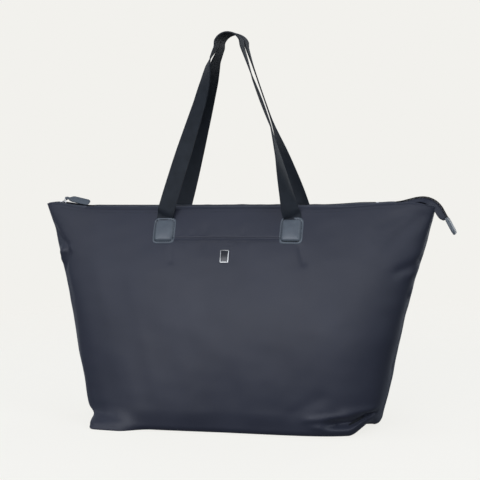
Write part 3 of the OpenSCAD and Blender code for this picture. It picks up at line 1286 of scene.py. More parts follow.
@dataclass(frozen=True)
class Stitching:
    """A row of lock stitches laid over the cloth.

    Attributes:
        long: Length of a stitch.
        gap: Bare cloth between two.
        thread: Thickness of the thread.
    """

    long: float = 2.6 * MM
    gap: float = 0.9 * MM
    thread: float = 0.42 * MM

    def sew(self, name: str, track: Track) -> bpy.types.Object:
        """Sews a row.

        Args:
            name: The piece's name.
            track: The line of the row, on the cloth.

        Returns:
            The new object.
        """
        size = (self.long, self.thread, self.thread)
        row = Bench.block(name, size, 0, self.thread * 0.3, 1)
        co = Bench.read(row)
        co[:, 2] -= (np.abs(co[:, 0]) / self.long) ** 2 * self.thread * 1.6
        Bench.write(row, co)
        pitch = self.long + self.gap
        Bench.repeat(row, max(1, int((track.length - self.gap) / pitch)), pitch)
        track.bend(row, self.thread * 0.25)
        Bench.soften(row, 50)
        return row


@dataclass
class Shell:
    """The nylon body: front, back and base cloth, with their hems, seams and bindings.

    Attributes:
        shop: The workshop.
        form: The shell's shape.
        wall: Thickness of the cloth.
    """

    shop: Workshop
    form: WallForm = field(default_factory=WallForm)
    wall: float = 1.3 * MM
    skins: dict[Side, Skin] = field(init=False)

    def __post_init__(self) -> None:
        """Lofts both halves."""
        self.skins = {Side.FRONT: Skin(self.form, Side.FRONT, FRONT_FOLDS),
                      Side.BACK: Skin(self.form, Side.BACK, BACK_FOLDS)}

    def build(self) -> None:
        """Makes every piece of the shell."""
        for side, skin in self.skins.items():
            self.half(side, skin)
            self.hem(side, skin)
            self.facing(side)
            for hand in Hand:
                self.side_stitches(side, hand, skin)
        self.base()
        self.base_binding()
        for hand in Hand:
            self.side_binding(hand)

    def half(self, side: Side, skin: Skin) -> None:
        """Makes the cloth of one half."""
        cloth = skin.panel(f"{side.word}_cloth", (300, 170), self.wall)
        self.shop.hand_in(cloth, Finish.NYLON, "bag", f"{side.word}_panel")
        wide, tall = 2 * float(skin.half.max()), 0.335
        area = 2 * float(np.trapz(skin.half, skin.z)) * tall / self.form.rim
        a = np.linspace(-0.262, 0.262, 200)
        row = skin.track(-side.value * a, np.full_like(a, self.form.rim - 4.5 * MM))
        sewn = Stitching().sew(f"{side.word}_topstitch", row)
        self.shop.hand_in(sewn, Finish.THREAD, "bag")

    def side_stitches(self, side: Side, hand: Hand, skin: Skin) -> None:
        """Sews the row beside one side seam."""
        z = np.linspace(0.016, 0.300, 120)
        a = hand.value * (np.interp(z, skin.z, skin.half) - 2.6 * MM)
        sewn = Stitching().sew(f"{side.word}_seam_stitch_{hand.word}", skin.track(a, z))
        self.shop.hand_in(sewn, Finish.THREAD, "bag")

    def hem(self, side: Side, skin: Skin) -> None:
        """Rolls the top edge in to the zip band's hinge line."""
        size = (2 * float(skin.half[-1]), 0.014)
        obj = Bench.grid(f"{side.word}_hem", size, (300, 8))
        co = Bench.read(obj)
        a, s = -side.value * co[:, 0] * 0.9995, co[:, 1] / size[1] + 0.5
        outer = skin.place(a, np.full_like(a, self.form.rim - 1.6 * MM), 0.35 * MM)
        x = np.clip(outer[:, 0], -0.2885, 0.2885)
        reach = np.minimum(TopZip.gap(x), np.abs(outer[:, 1]) - 0.6 * MM)
        inner = np.stack([x, side.value * np.maximum(reach, 0.4 * MM), TopZip.edge_z(x)], -1)
        t = ease(s)[:, None]
        points = outer * (1 - t) + inner * t
        points[:, 2] += 1.9 * MM * np.sin(math.pi * s) ** 0.8
        Bench.write(obj, points)
        Bench.thicken(obj, 0.9 * MM)
        Bench.soften(obj, 70)
        self.shop.hand_in(obj, Finish.NYLON, "bag", f"{side.word}_top_hem")

    def facing(self, side: Side) -> None:
        """Makes the strip inside the top edge."""
        x = np.linspace(-0.232, 0.232, 160)
        z = np.full_like(x, 0.3035)
        skin = self.skins[side]
        strip = Ribbon(0.025, 0.8 * MM, across=5).make(
            f"{side.word}_facing_strip", skin.track(-side.value * x, z, -2.6 * MM))
        self.shop.hand_in(strip, Finish.NYLON, "bag", f"{side.word}_facing")

    def base(self) -> None:
        """Makes the base cloth, which meets the lower edge of both halves."""
        obj = Bench.grid("base_cloth", (2, 2), (96, 48))
        co = Bench.read(obj)
        edge = np.concatenate([self.skins[s].points[0] for s in (Side.FRONT, Side.BACK)])
        turn = np.arctan2(edge[:, 1] / 0.081, edge[:, 0] / 0.206)
        order = np.argsort(turn)
        turn, edge = turn[order], edge[order]
        m = np.maximum(np.abs(co[:, 0]), np.abs(co[:, 1]))
        heading = np.arctan2(-co[:, 1], co[:, 0])
        rim = np.stack([np.interp(heading, turn, edge[:, k], period=math.tau)
                        for k in range(3)], -1)
        points = rim * m[:, None]
        points[:, 2] = (rim[:, 2] + 0.15 * MM) * m ** 6 + 0.3 * MM
        Bench.write(obj, points)
        Bench.thicken(obj, self.wall, even=False)
        Bench.soften(obj, 60)
        self.shop.hand_in(obj, Finish.NYLON, "bag", "base_panel")

    def base_binding(self) -> None:
        """Binds the base seam inside the bag."""
        ring = self.form.ring(6 * MM, 9 * MM, 200)
        ring[:, 2] += Skin.corner_lift(ring + [0.012, 0, 0])
        ring[:, 1] -= Skin.base_turn(ring[:, 0])
        out = unit(ring * [1, 3, 0])
        tape = Ribbon(8 * MM, 0.9 * MM, 4 * MM, 4).make("base_seam_tape", Track(ring, out))
        self.shop.hand_in(tape, Finish.BINDING, "bag", "base_binding")

    def side_binding(self, hand: Hand) -> None:
        """Binds one side seam inside the bag."""
        z = np.linspace(0.011, 0.288, 80)
        skin = self.skins[Side.FRONT]
        seam = skin.place(hand.value * np.interp(z, skin.z, skin.half), z)
        line = seam - [hand.value * 3.2 * MM, 0, 0]
        out = np.tile([float(hand.value), 0, 0], (len(z), 1))
        tape = Ribbon(10 * MM, 0.8 * MM, 4 * MM, 4).make(
            f"side_seam_tape_{hand.word}", Track(line, out))
        self.shop.hand_in(tape, Finish.BINDING, "bag", f"side_binding_{hand.word}")


@dataclass
class Pocket:
    """The stow pocket in the front: its mouth, its pouch and the plain badge below.

    Attributes:
        shop: The workshop.
        skin: The front half.
    """

    shop: Workshop
    skin: Skin
    half: float = 0.077
    mouth_z: float = 0.2748
    pouch_low: float = 0.128

    def build(self) -> None:
        """Makes the pocket's pieces."""
        self.welt()
        self.pouch()
        self.badge()

    def welt(self) -> None:
        """Makes the folded lip below the mouth, and its stitches."""
        a = np.linspace(-self.half, self.half, 120)
        z = np.full_like(a, self.mouth_z - 1.6 * MM)
        lip = Ribbon(3.4 * MM, 0.5 * MM, 1.5 * MM, 4, 0.35 * MM).make(
            "pocket_lip", self.skin.track(a, z, 0.2 * MM))
        self.shop.hand_in(lip, Finish.NYLON, "bag", "pocket_welt")
        row = self.skin.track(a, z - 4.0 * MM)
        sewn = Stitching(2.2 * MM, 0.8 * MM, 0.32 * MM).sew("pocket_topstitch", row)
        self.shop.hand_in(sewn, Finish.THREAD, "bag")
        w, low, high = 0.0135, 0.2645, 0.2715
        corners = ((-w, high), (-w, low), (w, low), (w, high))
        path = [np.linspace(p, q, 24)[:-1] for p, q in zip(corners, corners[1:])]
        box = np.concatenate([*path, np.array([corners[-1]])])
        tack = Stitching(1.8 * MM, 0.7 * MM, 0.3 * MM).sew(
            "pocket_tack_stitch", self.skin.track(box[:, 0] + 0.002, box[:, 1]))
        self.shop.hand_in(tack, Finish.THREAD, "bag")

    def pouch(self) -> None:
        """Makes the thin pouch that hangs inside, behind the mouth."""
        high = self.mouth_z + 8 * MM
        size = (2 * self.half + 6 * MM, high - self.pouch_low)
        obj = Bench.grid("pocket_bag", size, (60, 54))
        co = Bench.read(obj)
        u, v = co[:, 0] / size[0] * 2, co[:, 1] / size[1] * 2
        full = (1 - u ** 4) * (1 - v ** 4)
        sway = 0.7 * MM * np.sin(u * 9 + v * 2) * full
        z = np.interp(v, (-1, 1), (self.pouch_low, high))
        lift = -2.6 * MM - 7.0 * MM * np.maximum(full, 0) ** 0.6 + sway
        Bench.write(obj, self.skin.place(co[:, 0], z, lift))
        Bench.thicken(obj, 0.6 * MM)
        Bench.soften(obj, 60)
        self.shop.hand_in(obj, Finish.POUCH, "bag", "pocket_pouch")

    def badge(self) -> None:
        """Makes the plain badge: a rim round a recessed plate."""
        low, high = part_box("badge_plate")
        w, h, lift = high.x - low.x, 0.019, 0.5 * MM
        plate = Bench.block("badge_rim", (w, h, 1.7 * MM), 0, 0.9 * MM, 3)
        bpy.ops.object.mode_set(mode="EDIT")
        bpy.ops.mesh.select_all(action="DESELECT")
        bpy.ops.mesh.select_mode(type="FACE")
        bpy.ops.object.mode_set(mode="OBJECT")
        for face in plate.data.polygons:
            face.select = face.normal.z > 0.99
        bpy.ops.object.mode_set(mode="EDIT")
        bpy.ops.mesh.inset(thickness=0.35 * MM, depth=0)
        bpy.ops.mesh.inset(thickness=0.2 * MM, depth=-0.7 * MM)
        bpy.ops.object.mode_set(mode="OBJECT")
        centre = (low.z + high.z) / 2
        self.stand(plate, centre, lift)
        Bench.soften(plate, 35)
        self.shop.hand_in(plate, Finish.BADGE, "bag", "badge_plate")
        field_size = (w - 2.9 * MM, h - 2.9 * MM, 0.5 * MM)
        inlay = Bench.block("badge_inlay", field_size, 0, 0.2 * MM, 2)
        self.stand(inlay, centre, lift + 0.35 * MM)
        Bench.soften(inlay, 35)
        self.shop.hand_in(inlay, Finish.ENAMEL, "bag")

    def stand(self, obj: bpy.types.Object, z: float, lift: float) -> None:
        """Sets a flat piece against the cloth.

        Args:
            obj: The piece, flat round the origin.
            z: Height of its middle.
            lift: Distance out from the cloth.
        """
        at = self.skin.place(0.0, z, lift)
        out = unit(self.skin.place(0.0, z, 0.01) - self.skin.place(0.0, z, 0.0))
        up = unit(np.array([0, 0, 1.0]) - out * out[2])
        co = Bench.read(obj)
        side = np.cross(up, out)
        Bench.write(obj, at + co[:, :1] * side + co[:, 1:2] * up + co[:, 2:3] * out)


@dataclass
class Handle:
    """One webbing loop, with the leather patches over its ends.

    Attributes:
        shop: The workshop.
        side: Front or back.
        skin: The half that it is sewn to.
        twists: For each hand, heights and how far the strap has turned outwards, in degrees.
        bows: For each hand, heights and how far the strap bows outwards, in millimetres.
    """

    shop: Workshop
    side: Side
    skin: Skin
    twists: dict[Hand, tuple[tuple[float, float], ...]]
    bows: dict[Hand, tuple[tuple[float, float], ...]]
    width: float = 0.025
    patch_x: float = 0.095
    bend: float = 0.020
    top_y: float = 0.0135
    leg_z: float = 0.306
    top_z: float = 0.5500
    sewn_low: float = 0.272
    patch: tuple[float, float, float] = (0.034, 0.268, 0.304)
    squared: float = 6.5
    seam: float = 0.845

    @property
    def hinge_y(self) -> float:
        """Distance of the handle's fold line from the middle of the bag."""
        return abs(joint(f"{self.side.word}_handle_fold")["pos_m"][1])

    def leg(self, hand: Hand) -> tuple[Array, Array]:
        """One leg, from its sewn end to the start of the bend.

        Args:
            hand: Which leg.

        Returns:
            Its points and its up directions.
        """
        lean = math.atan2(self.patch_x - self.bend, self.top_z - self.leg_z)
        z = np.concatenate([np.linspace(self.sewn_low, 0.300, 16)[:-1],
                            np.linspace(0.300, self.top_z, 90)])
        t = np.clip((z - self.leg_z) / (self.top_z - self.leg_z), 0, 1)
        x = self.patch_x + (self.bend * math.cos(lean) - self.patch_x) * t
        heights, bow = np.array(self.bows[hand]).T
        x = x + np.interp(z, heights * MM, bow * MM)
        free = self.hinge_y - 1.2 * MM
        free = free + (self.top_y - free) * ease(t)
        sewn = np.minimum(z, 0.3045)
        wall = self.skin.place(hand.value * self.patch_x, sewn, 1.2 * MM)
        out = unit(self.skin.place(hand.value * self.patch_x, sewn, 1.0)
                   - self.skin.place(hand.value * self.patch_x, sewn, 0.0))
        leave = ease((z - 0.3035) / 0.012)
        y = np.abs(wall[:, 1]) * (1 - leave) + free * leave
        points = np.stack([hand.value * x, self.side.value * y, z], -1)
        heights, turn = np.array(self.twists[hand]).T
        angle = np.radians(rounded(z, heights * MM, turn, 0.014))[:, None]
        away = np.tile([hand.value * math.cos(lean), 0, math.sin(lean)], (len(z), 1))
        straight = np.tile([0.0, float(self.side.value), 0.0], (len(z), 1))
        forward = unit(out * (1 - leave)[:, None] + straight * leave[:, None])
        return points, np.cos(angle) * forward + np.sin(angle) * away

    def track(self) -> Track:
        """The strap's middle line, from the left patch over the bend to the right patch."""
        left, up_left = self.leg(Hand.LEFT)
        right, up_right = self.leg(Hand.RIGHT)
        lean = math.atan2(self.patch_x - self.bend, self.top_z - self.leg_z)
        sweep = np.linspace(math.pi - lean, lean, 26)[1:-1]
        arc = np.stack([self.bend * np.cos(sweep), np.full_like(sweep, left[-1, 1]),
                        self.top_z + self.bend * np.sin(sweep)], -1)
        turn = np.radians(np.linspace(self.twists[Hand.LEFT][-1][1],
                                      self.twists[Hand.RIGHT][-1][1], len(sweep)))[:, None]
        away = np.stack([np.cos(sweep), np.zeros_like(sweep), np.sin(sweep)], -1)
        forward = np.tile([0.0, float(self.side.value), 0.0], (len(sweep), 1))
        over = np.cos(turn) * forward + np.sin(turn) * away
        return Track(np.concatenate([left, arc, right[::-1]]),
                     np.concatenate([up_left, over, up_right[::-1]]))

    def build(self) -> None:
        """Makes the strap and its patches."""
        track = self.track()
        long = track.length

        def ripple(s: Array, y: Array) -> Array:
            """Slight curl of the strap, strongest where it leaves the right patch."""
            end = np.minimum(s, long - s)
            curl = 0.7 * MM * bump(end - 0.07, 0.05)
            right = 2.2 * MM * bump(long - s - 0.062, 0.034)
            return (curl + right) * (1 - y * y) + 0.25 * MM * np.sin(s * 60) * y

        strap = Ribbon(self.width, 1.8 * MM, 2.5 * MM, 10, 0.25 * MM).make(
            f"{self.side.word}_strap", track, ripple=ripple)
        self.shop.hand_in(
            strap, Finish.WEBBING, ("bag", f"{self.side.word}_handle"),
            f"{self.side.word}_handle", f"{self.side.word}_handle_ends",
            across=(np.array([0, self.side.value * self.hinge_y, 0.3035]),
                    np.array([0, self.side.value * self.hinge_y, 0.3125])))
        for hand in Hand:
            self.leather(hand)

    def square_reach(self, u: Array, v: Array) -> Array:
        """How far out a point stands in the patch's rounded square; 1 is its edge."""
        return (np.abs(u) ** self.squared + np.abs(v) ** self.squared) ** (1 / self.squared)

    def over_strap(self, x: Array, y: Array) -> Array:
        """Where the patch lies over the strap's end, from 0 to 1.

        Args:
            x: Distances from the middle of the patch.
            y: Heights over its middle.

        Returns:
            Its share at each point.
        """
        _, low, high = self.patch
        inside = 1 - ease((np.abs(x) - 0.0105) / 0.005)
        return inside * ease((y + (high - low) / 2 - 0.0015) / 0.005)

    def leather(self, hand: Hand) -> None:
        """Makes one patch: a padded middle, a stitched groove and a raised rim."""
        wide, low, high = self.patch
        obj = Bench.grid(f"leather_{self.side.word}_{hand.word}", (2, 2), (56, 56))
        co = Bench.read(obj)
        u, v = co[:, 0], co[:, 1]
        m = np.maximum(np.abs(u), np.abs(v))
        k = np.where(m > 0, m / np.maximum(self.square_reach(u, v), 1e-9), 1)
        x, y = u * k * wide / 2, v * k * (high - low) / 2
        over = self.over_strap(x, y)
        pad = 1.5 * MM * np.clip(1 - (m / 0.80) ** 2.4, 0, 1) ** 0.8
        groove = -0.75 * MM * bump(m - self.seam, 0.035)
        rim = 0.35 * MM * bump(m - 0.93, 0.05)
        fall = -0.9 * MM * ease((m - 0.955) / 0.045)
        lift = 0.9 * MM + 2.3 * MM * over + pad + groove + rim + fall
        a = hand.value * self.patch_x - self.side.value * x
        Bench.write(obj, self.skin.place(a, (low + high) / 2 + y, lift))
        Bench.thicken(obj, 1.3 * MM)
        Bench.soften(obj, 60)
        node = f"patch_{self.side.word}_{hand.word}"
        self.shop.hand_in(obj, Finish.LEATHER, "bag", node)
        t = np.linspace(0, math.tau, 240)
        cu, cv = np.cos(t), np.sin(t)
        k = self.seam / self.square_reach(cu, cv)
        x, y = cu * k * wide / 2, cv * k * (high - low) / 2
        lift = 0.3 * MM + 2.3 * MM * self.over_strap(x, y)
        a = hand.value * self.patch_x - self.side.value * x
        line = self.skin.place(a, (low + high) / 2 + y, lift)
        out = self.skin.place(a, (low + high) / 2 + y, 1.0) - self.skin.place(
            a, (low + high) / 2 + y, 0.0)
        sewn = Stitching(2.5 * MM, 0.9 * MM, 0.6 * MM).sew(
            f"leather_stitch_{self.side.word}_{hand.word}", Track(line, out))
        self.shop.hand_in(sewn, Finish.EDGE_THREAD, "bag")


@dataclass
class TopZip:
    """The zip: bands, tapes and teeth along both sides; the slider, ring and pull.

    Attributes:
        shop: The workshop.
    """

    shop: Workshop
    middle: float = -0.026
    left: float = -0.285
    flap_left: float = -0.225
    tail: float = 0.236
    teeth_right: float = 0.2095
    tape_in: float = 0.0031
    tape_out: float = 0.0078
    pitch: float = 2.0 * MM
    pull_slope: float = 12.5
    pull_roll: float = 38
    pull_width: float = 0.0112
    pull_thickness: float = 2.1 * MM

    @staticmethod
    def straight(x: Array) -> Array:
        """Height of the zip's straight line, along which the slider runs."""
        axis = joint("slider_travel")["axis"]
        slope = axis[2] / axis[0]
        low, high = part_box("zip_tape_left")
        return (low.z + 0.35 * MM) + (x - low.x) * slope

    @classmethod
    def line(cls, x: Array) -> Array:
        """Height of the closed zip as it hangs."""
        return cls.straight(x) + Rim.sag(x)

    @staticmethod
    def gap(x: Array) -> Array:
        """Distance of the hem's inner edge from the middle of the bag."""
        left = ease((x + 0.2305) / 0.006)
        right = ease((x - 0.226) / 0.016)
        return (0.0084 * (1 - left) + 0.0199 * left) * (1 - right) + 0.0142 * right

    @staticmethod
    def edge_z(x: Array) -> Array:
        """Height of the hem's inner edge and of the zip band's hinge line."""
        axis = joint("front_flap_fold")["pos_m"][2]
        top = 0.3178 + Rim.drift(x)
        inside = ease((x + 0.240) / 0.020) * (1 - ease((x - 0.160) / 0.060))
        return top * (1 - inside) + axis * inside

    def build(self) -> None:
        """Makes every piece of the zip."""
        for side in Side:
            flap = f"{side.word}_zip_flap"
            turns = {Hand.LEFT: (self.left, self.middle, -0.226, -0.170),
                     Hand.RIGHT: (self.middle, self.tail, self.tail, 0.160)}
            for hand, (x0, x1, start, end) in turns.items():
                across = (np.array([start, 0, 0.32]), np.array([end, 0, 0.32]))
                self.band(side, hand, max(x0, self.flap_left), x1, flap, across)
                self.tape(side, hand, x0, x1, flap, across)
                self.teeth(side, hand, x0, x1, flap, across)
        self.slider()
        self.ring()
        self.pull()

    def band(self, side: Side, hand: Hand, x0: float, x1: float, flap: str,
             across: tuple[Array, Array]) -> None:
        """Makes half of the nylon strip between the hem and the tape."""
        size = (x1 - x0, 0.0135)
        obj = Bench.grid(f"zip_band_{side.word}_{hand.word}", size, (120, 8))
        co = Bench.read(obj)
        x = (x0 + x1) / 2 - side.value * co[:, 0]
        t = co[:, 1] / size[1] + 0.5
        y = self.gap(x) - 0.4 * MM + (self.tape_out - 1.2 * MM - self.gap(x) + 0.4 * MM) * t
        z0, z1 = self.edge_z(x) - 0.4 * MM, self.line(x) + 0.55 * MM
        puff = 0.9 * MM * np.sin(math.pi * t) * (1 + 0.4 * np.sin(x * 170) * np.sin(x * 61 + 1))
        z = z0 + (z1 - z0) * t ** 0.85 + puff
        Bench.write(obj, np.stack([x, side.value * y, z], -1))
        Bench.thicken(obj, 0.6 * MM)
        Bench.soften(obj, 60)
        nodes = [f"{side.word}_zip_band"] + ["zip_band_right"] * (hand is Hand.RIGHT)
        self.shop.hand_in(obj, Finish.NYLON, ("bag", flap), *nodes, across=across)

    def tape(self, side: Side, hand: Hand, x0: float, x1: float, flap: str,
             across: tuple[Array, Array]) -> None:
        """Makes half of one zip tape."""
        x = np.linspace(x0, x1, 90)
        y = side.value * (self.tape_in + self.tape_out) / 2
        line = Track(np.stack([x, np.full_like(x, y), self.line(x)], -1),
                     np.tile([0, 0, 1.0], (len(x), 1)))
        obj = Ribbon(self.tape_out - self.tape_in + 1.6 * MM, 0.6 * MM, 3 * MM, 3).make(
            f"zip_tape_{side.word}_{hand.word}", line)
        self.shop.hand_in(obj, Finish.TAPE, ("bag", flap), f"{side.word}_zip_tape",
                          f"zip_tape_{hand.word}", across=across)

    def teeth(self, side: Side, hand: Hand, x0: float, x1: float, flap: str,
              across: tuple[Array, Array]) -> None:
        """Makes half of one row of teeth."""
        shift = self.pitch / 2 * (side is Side.FRONT)
        start = max(x0, self.left + 2.6 * MM)
        end = min(x1, self.teeth_right)
        count = int((end - start - shift) / self.pitch)
        row = Bench.block(f"zip_teeth_{side.word}_{hand.word}",
                          (1.35 * MM, 3.0 * MM, 2.2 * MM), 0, 0.35 * MM, 1)
        Bench.repeat(row, count, self.pitch)
        x = np.linspace(start + shift, start + shift + count * self.pitch, 90)
        y = np.full_like(x, side.value * 1.7 * MM)
        Track(np.stack([x, y, self.line(x)], -1), np.tile([0, 0, 1.0], (len(x), 1))).bend(row)
        Bench.soften(row, 40)
        self.shop.hand_in(row, Finish.COIL, ("bag", flap), f"{side.word}_zip_chain",
                          f"zip_chain_{hand.word}", across=across)

    def slider(self) -> None:
        """Dresses the slider, the stops and the other metal that stays from the frame."""
        for node in ("slider_body", "slider_bridge", "zip_stop_left", "zip_stop_right"):
            self.shop.finish_node(node, Finish.METAL)
        self.shop.finish_node("badge_backing", Finish.BADGE)

    def ring(self) -> None:
        """Makes the wire ring between the slider and the pull."""
        low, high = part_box("pull_ring")
        wire = 0.6 * MM
        length = math.hypot(high.x - low.x - 2 * wire, high.z - low.z - 2 * wire)
        half_l, half_w = length / 2, (high.y - low.y) / 2 - wire
        Bench.deselect()
        bpy.ops.mesh.primitive_torus_add(major_segments=72, minor_segments=14,
                                         major_radius=1, minor_radius=0.2)
        obj = bpy.context.object
        obj.name = obj.data.name = "wire_ring"
        co = Bench.read(obj)
        heading = np.arctan2(co[:, 1], co[:, 0])
        out = (np.hypot(co[:, 0], co[:, 1]) - 1) / 0.2 * wire
        c, s = np.cos(heading), np.sin(heading)
        round_off = (np.abs(c) ** 5 + np.abs(s) ** 5) ** (-0.2)
        x = c * (round_off * half_l + out)
        y = s * (round_off * half_w + out)
        z = co[:, 2] / 0.2 * wire
        slope = math.atan2(high.z - low.z - 2 * wire, high.x - low.x - 2 * wire)
        mid = (low + high) / 2
        Bench.write(obj, np.stack([mid.x + x * math.cos(slope) - z * math.sin(slope), y,
                                   mid.z + x * math.sin(slope) + z * math.cos(slope)], -1))
        Bench.soften(obj, 60)
        self.shop.hand_in(obj, Finish.METAL, "pull_ring", "pull_ring")

    def pull(self) -> None:
        """Makes the leather pull, looped through the ring, and its stitches."""
        pivot = joint("puller_swing")["pos_m"]
        slope = math.radians(self.pull_slope)
        turn = np.linspace(math.radians(-150), math.radians(70), 20)
        radius = 1.35 * MM
        loop = np.stack([-radius * np.cos(turn), np.zeros(20), radius * np.sin(turn)], -1)
        run = np.linspace(2.2, 37.2, 40)[:, None] * MM
        strap = np.concatenate([run, run * 0, run * 0 + 0.8 * MM], 1)
        path = np.concatenate([loop, strap])
        up = np.concatenate([unit(loop), np.tile([0, 0, 1.0], (40, 1))])
        roll = math.radians(self.pull_roll) * ease(path[:, 0] / 0.012)

        def world(v: Array) -> Array:
            """Turns a direction or a point of the pull into place."""
            return np.stack([v[:, 0] * math.cos(slope) + v[:, 2] * math.sin(slope), v[:, 1],
                             -v[:, 0] * math.sin(slope) + v[:, 2] * math.cos(slope)], -1)

        up = np.stack([up[:, 0], -np.sin(roll) * up[:, 2], np.cos(roll) * up[:, 2]], -1)
        track = Track(np.array(pivot) + world(path), world(up))
        start = track.length - 0.035

        def shape(s: Array) -> Array:
            """Narrow through the ring, full width after it, round at the end."""
            wide = 0.52 + 0.48 * ease((s - start - 0.001) / 0.004)
            tip = np.clip((s - track.length + 0.0045) / 0.0046, 0, 1)
            return wide * np.sqrt(np.maximum(1 - tip ** 2.6, 0.02))

        def ripple(s: Array, y: Array) -> Array:
            """Crowned middle with pressed edges."""
            return (0.55 * MM * (1 - y ** 4) - 0.25 * MM * bump(np.abs(y) - 0.72, 0.08)) * ease(
                (s - start) / 0.006)

        obj = Ribbon(self.pull_width, self.pull_thickness, 0.6 * MM, 18).make(
            "leather_pull", track, 0, ripple, shape)
        self.shop.hand_in(obj, Finish.LEATHER, "puller", "puller")
        for word, y in (("near", -3.9 * MM), ("far", 3.9 * MM)):
            s = np.linspace(start + 0.006, track.length - 0.005, 30)
            line = track.pick(track.points, s) + track.pick(track.across, s) * y
            line = line + track.pick(track.up, s) * 1.15 * MM
            sewn = Stitching(1.9 * MM, 0.7 * MM, 0.35 * MM).sew(
                f"pull_stitch_{word}", Track(line, track.pick(track.up, s)))
            self.shop.hand_in(sewn, Finish.EDGE_THREAD, "puller")


@dataclass
class ZipTail:
    """The free end of the zip: a folded band with teeth, and the leather tab on its end.

    Attributes:
        shop: The workshop.
    """

    shop: Workshop
    start: float = 0.236
    crest: float = 0.275
    rise: float = 0.007
    drop_radius: float = 0.031
    drop: float = math.radians(62)
    straight: float = 0.015
    half: float = 0.0125

    def track(self) -> Track:
        """The tail's ridge line: over a crest, round the drop and straight down."""
        z0 = float(TopZip.straight(np.array(self.start)))
        t = np.linspace(-0.12, 1, 30)
        hump = np.stack([self.start + (self.crest - self.start) * t, t * 0,
                         z0 + self.rise * ease(t)], -1)
        turn = math.pi / 2 - np.linspace(0, self.drop, 28)[1:]
        fall = np.stack([self.crest + self.drop_radius * np.cos(turn), turn * 0,
                         z0 + self.rise - self.drop_radius * (1 - np.sin(turn))], -1)
        down = np.array([math.cos(self.drop), 0, -math.sin(self.drop)])
        end = fall[-1] + np.linspace(0, self.straight, 10)[1:, None] * down
        points = np.concatenate([hump, fall, end])
        run = unit(np.gradient(points, axis=0))
        return Track(points, np.stack([-run[:, 2], run[:, 1], run[:, 0]], -1))

    def build(self) -> None:
        """Makes the band, its teeth and the tab."""
        track = self.track()
        long = track.length

        def roof(s: Array, y: Array) -> Array:
            """Both leaves slope away from the ridge, more so towards the rounded end."""
            tip = np.clip((s - long + 0.013) / 0.0138, 0, 1)
            fall = 5.2 * MM + 5.2 * MM * ease((s - 0.040) / 0.028)
            fall = fall * np.sqrt(1 - 0.8 * tip ** 2.4)
            return -fall * np.abs(y) ** 1.15 - 0.4 * MM * np.sin(s * 130) * np.abs(y)

        def shape(s: Array) -> Array:
            """Drawn in as the leaves drop, and rounded where it goes into the tab."""
            tip = np.clip((s - long + 0.013) / 0.0138, 0, 1)
            return (1.0 - 0.56 * ease((s - 0.034) / 0.030)) * np.sqrt(1 - tip ** 2.4)

        band = Ribbon(2 * self.half, 0.9 * MM, 1.6 * MM, 24).make(
            "tail_cloth", track, -1, roof, shape)
        across = (np.array([self.start - 0.004, 0, 0.33]), np.array([self.start + 0.012, 0, 0.33]))
        self.shop.hand_in(band, Finish.NYLON, ("bag", "zip_tail"), "tail_band", across=across)
        for side in Side:
            pitch = 2.0 * MM
            count = int((long - 0.006) / pitch)
            row = Bench.block(f"tail_teeth_{side.word}", (1.35 * MM, 3.0 * MM, 1.7 * MM), 0,
                              0.3 * MM, 1)
            Bench.repeat(row, count, pitch)
            co = Bench.read(row)
            Bench.write(row, co + [0.003 + 0.001 * (side is Side.FRONT),
                                   side.value * 1.7 * MM, 0.9 * MM])
            track.bend(row)
            Bench.soften(row, 40)
            self.shop.hand_in(row, Finish.COIL, ("bag", "zip_tail"), "tail_chain",
                              across=across)
        self.tab(track)

    def tab(self, track: Track) -> None:
        """Makes the leather tab folded over the tail's end."""
        end, run, up = track.points[-1], track.run[-1], track.up[-1]
        size, overlap = (0.0265, 0.025, 0.0044), 2.4 * MM
        obj = Bench.block("tail_leather", size, 7, 1.1 * MM, 3)
        co = Bench.read(obj)
        s, y = co[:, 0] / size[0] * 2, co[:, 1] / size[1] * 2
        co[:, 2] *= 1.12 - 0.34 * np.abs(s) ** 2.4
        co[:, 1] *= 1 - 0.10 * ease((s - 0.55) / 0.45) ** 2
        co[:, 2] *= 1 - 0.18 * np.clip(np.abs(y) - 0.72, 0, 1) / 0.28
        co[:, 0] += size[0] / 2 - overlap
        across = np.cross(up, run)
        Bench.write(obj, end + co[:, :1] * run + co[:, 1:2] * across
                    + (co[:, 2:3] - 0.5 * MM) * up)
        Bench.soften(obj, 50)
        self.shop.hand_in(obj, Finish.LEATHER, "zip_tail", "tail_tab")
        for word, face in (("outer", 1.0), ("inner", -1.0)):
            t = np.linspace(0, math.tau, 90)
            k = (np.abs(np.cos(t)) ** 8 + np.abs(np.sin(t)) ** 8) ** (-1 / 8)
            x = size[0] / 2 - overlap + np.cos(t) * k * 10.2 * MM
            y = np.sin(t) * k * 9.6 * MM
            line = end + x[:, None] * run + y[:, None] * across + (
                face * 2.25 - 0.5) * MM * up
            sewn = Stitching(2.0 * MM, 0.8 * MM, 0.4 * MM).sew(
                f"tail_stitch_{word}", Track(line, np.tile(up * face, (len(t), 1))))
            self.shop.hand_in(sewn, Finish.EDGE_THREAD, "zip_tail")


# ------------------------------------------------------------------ studio


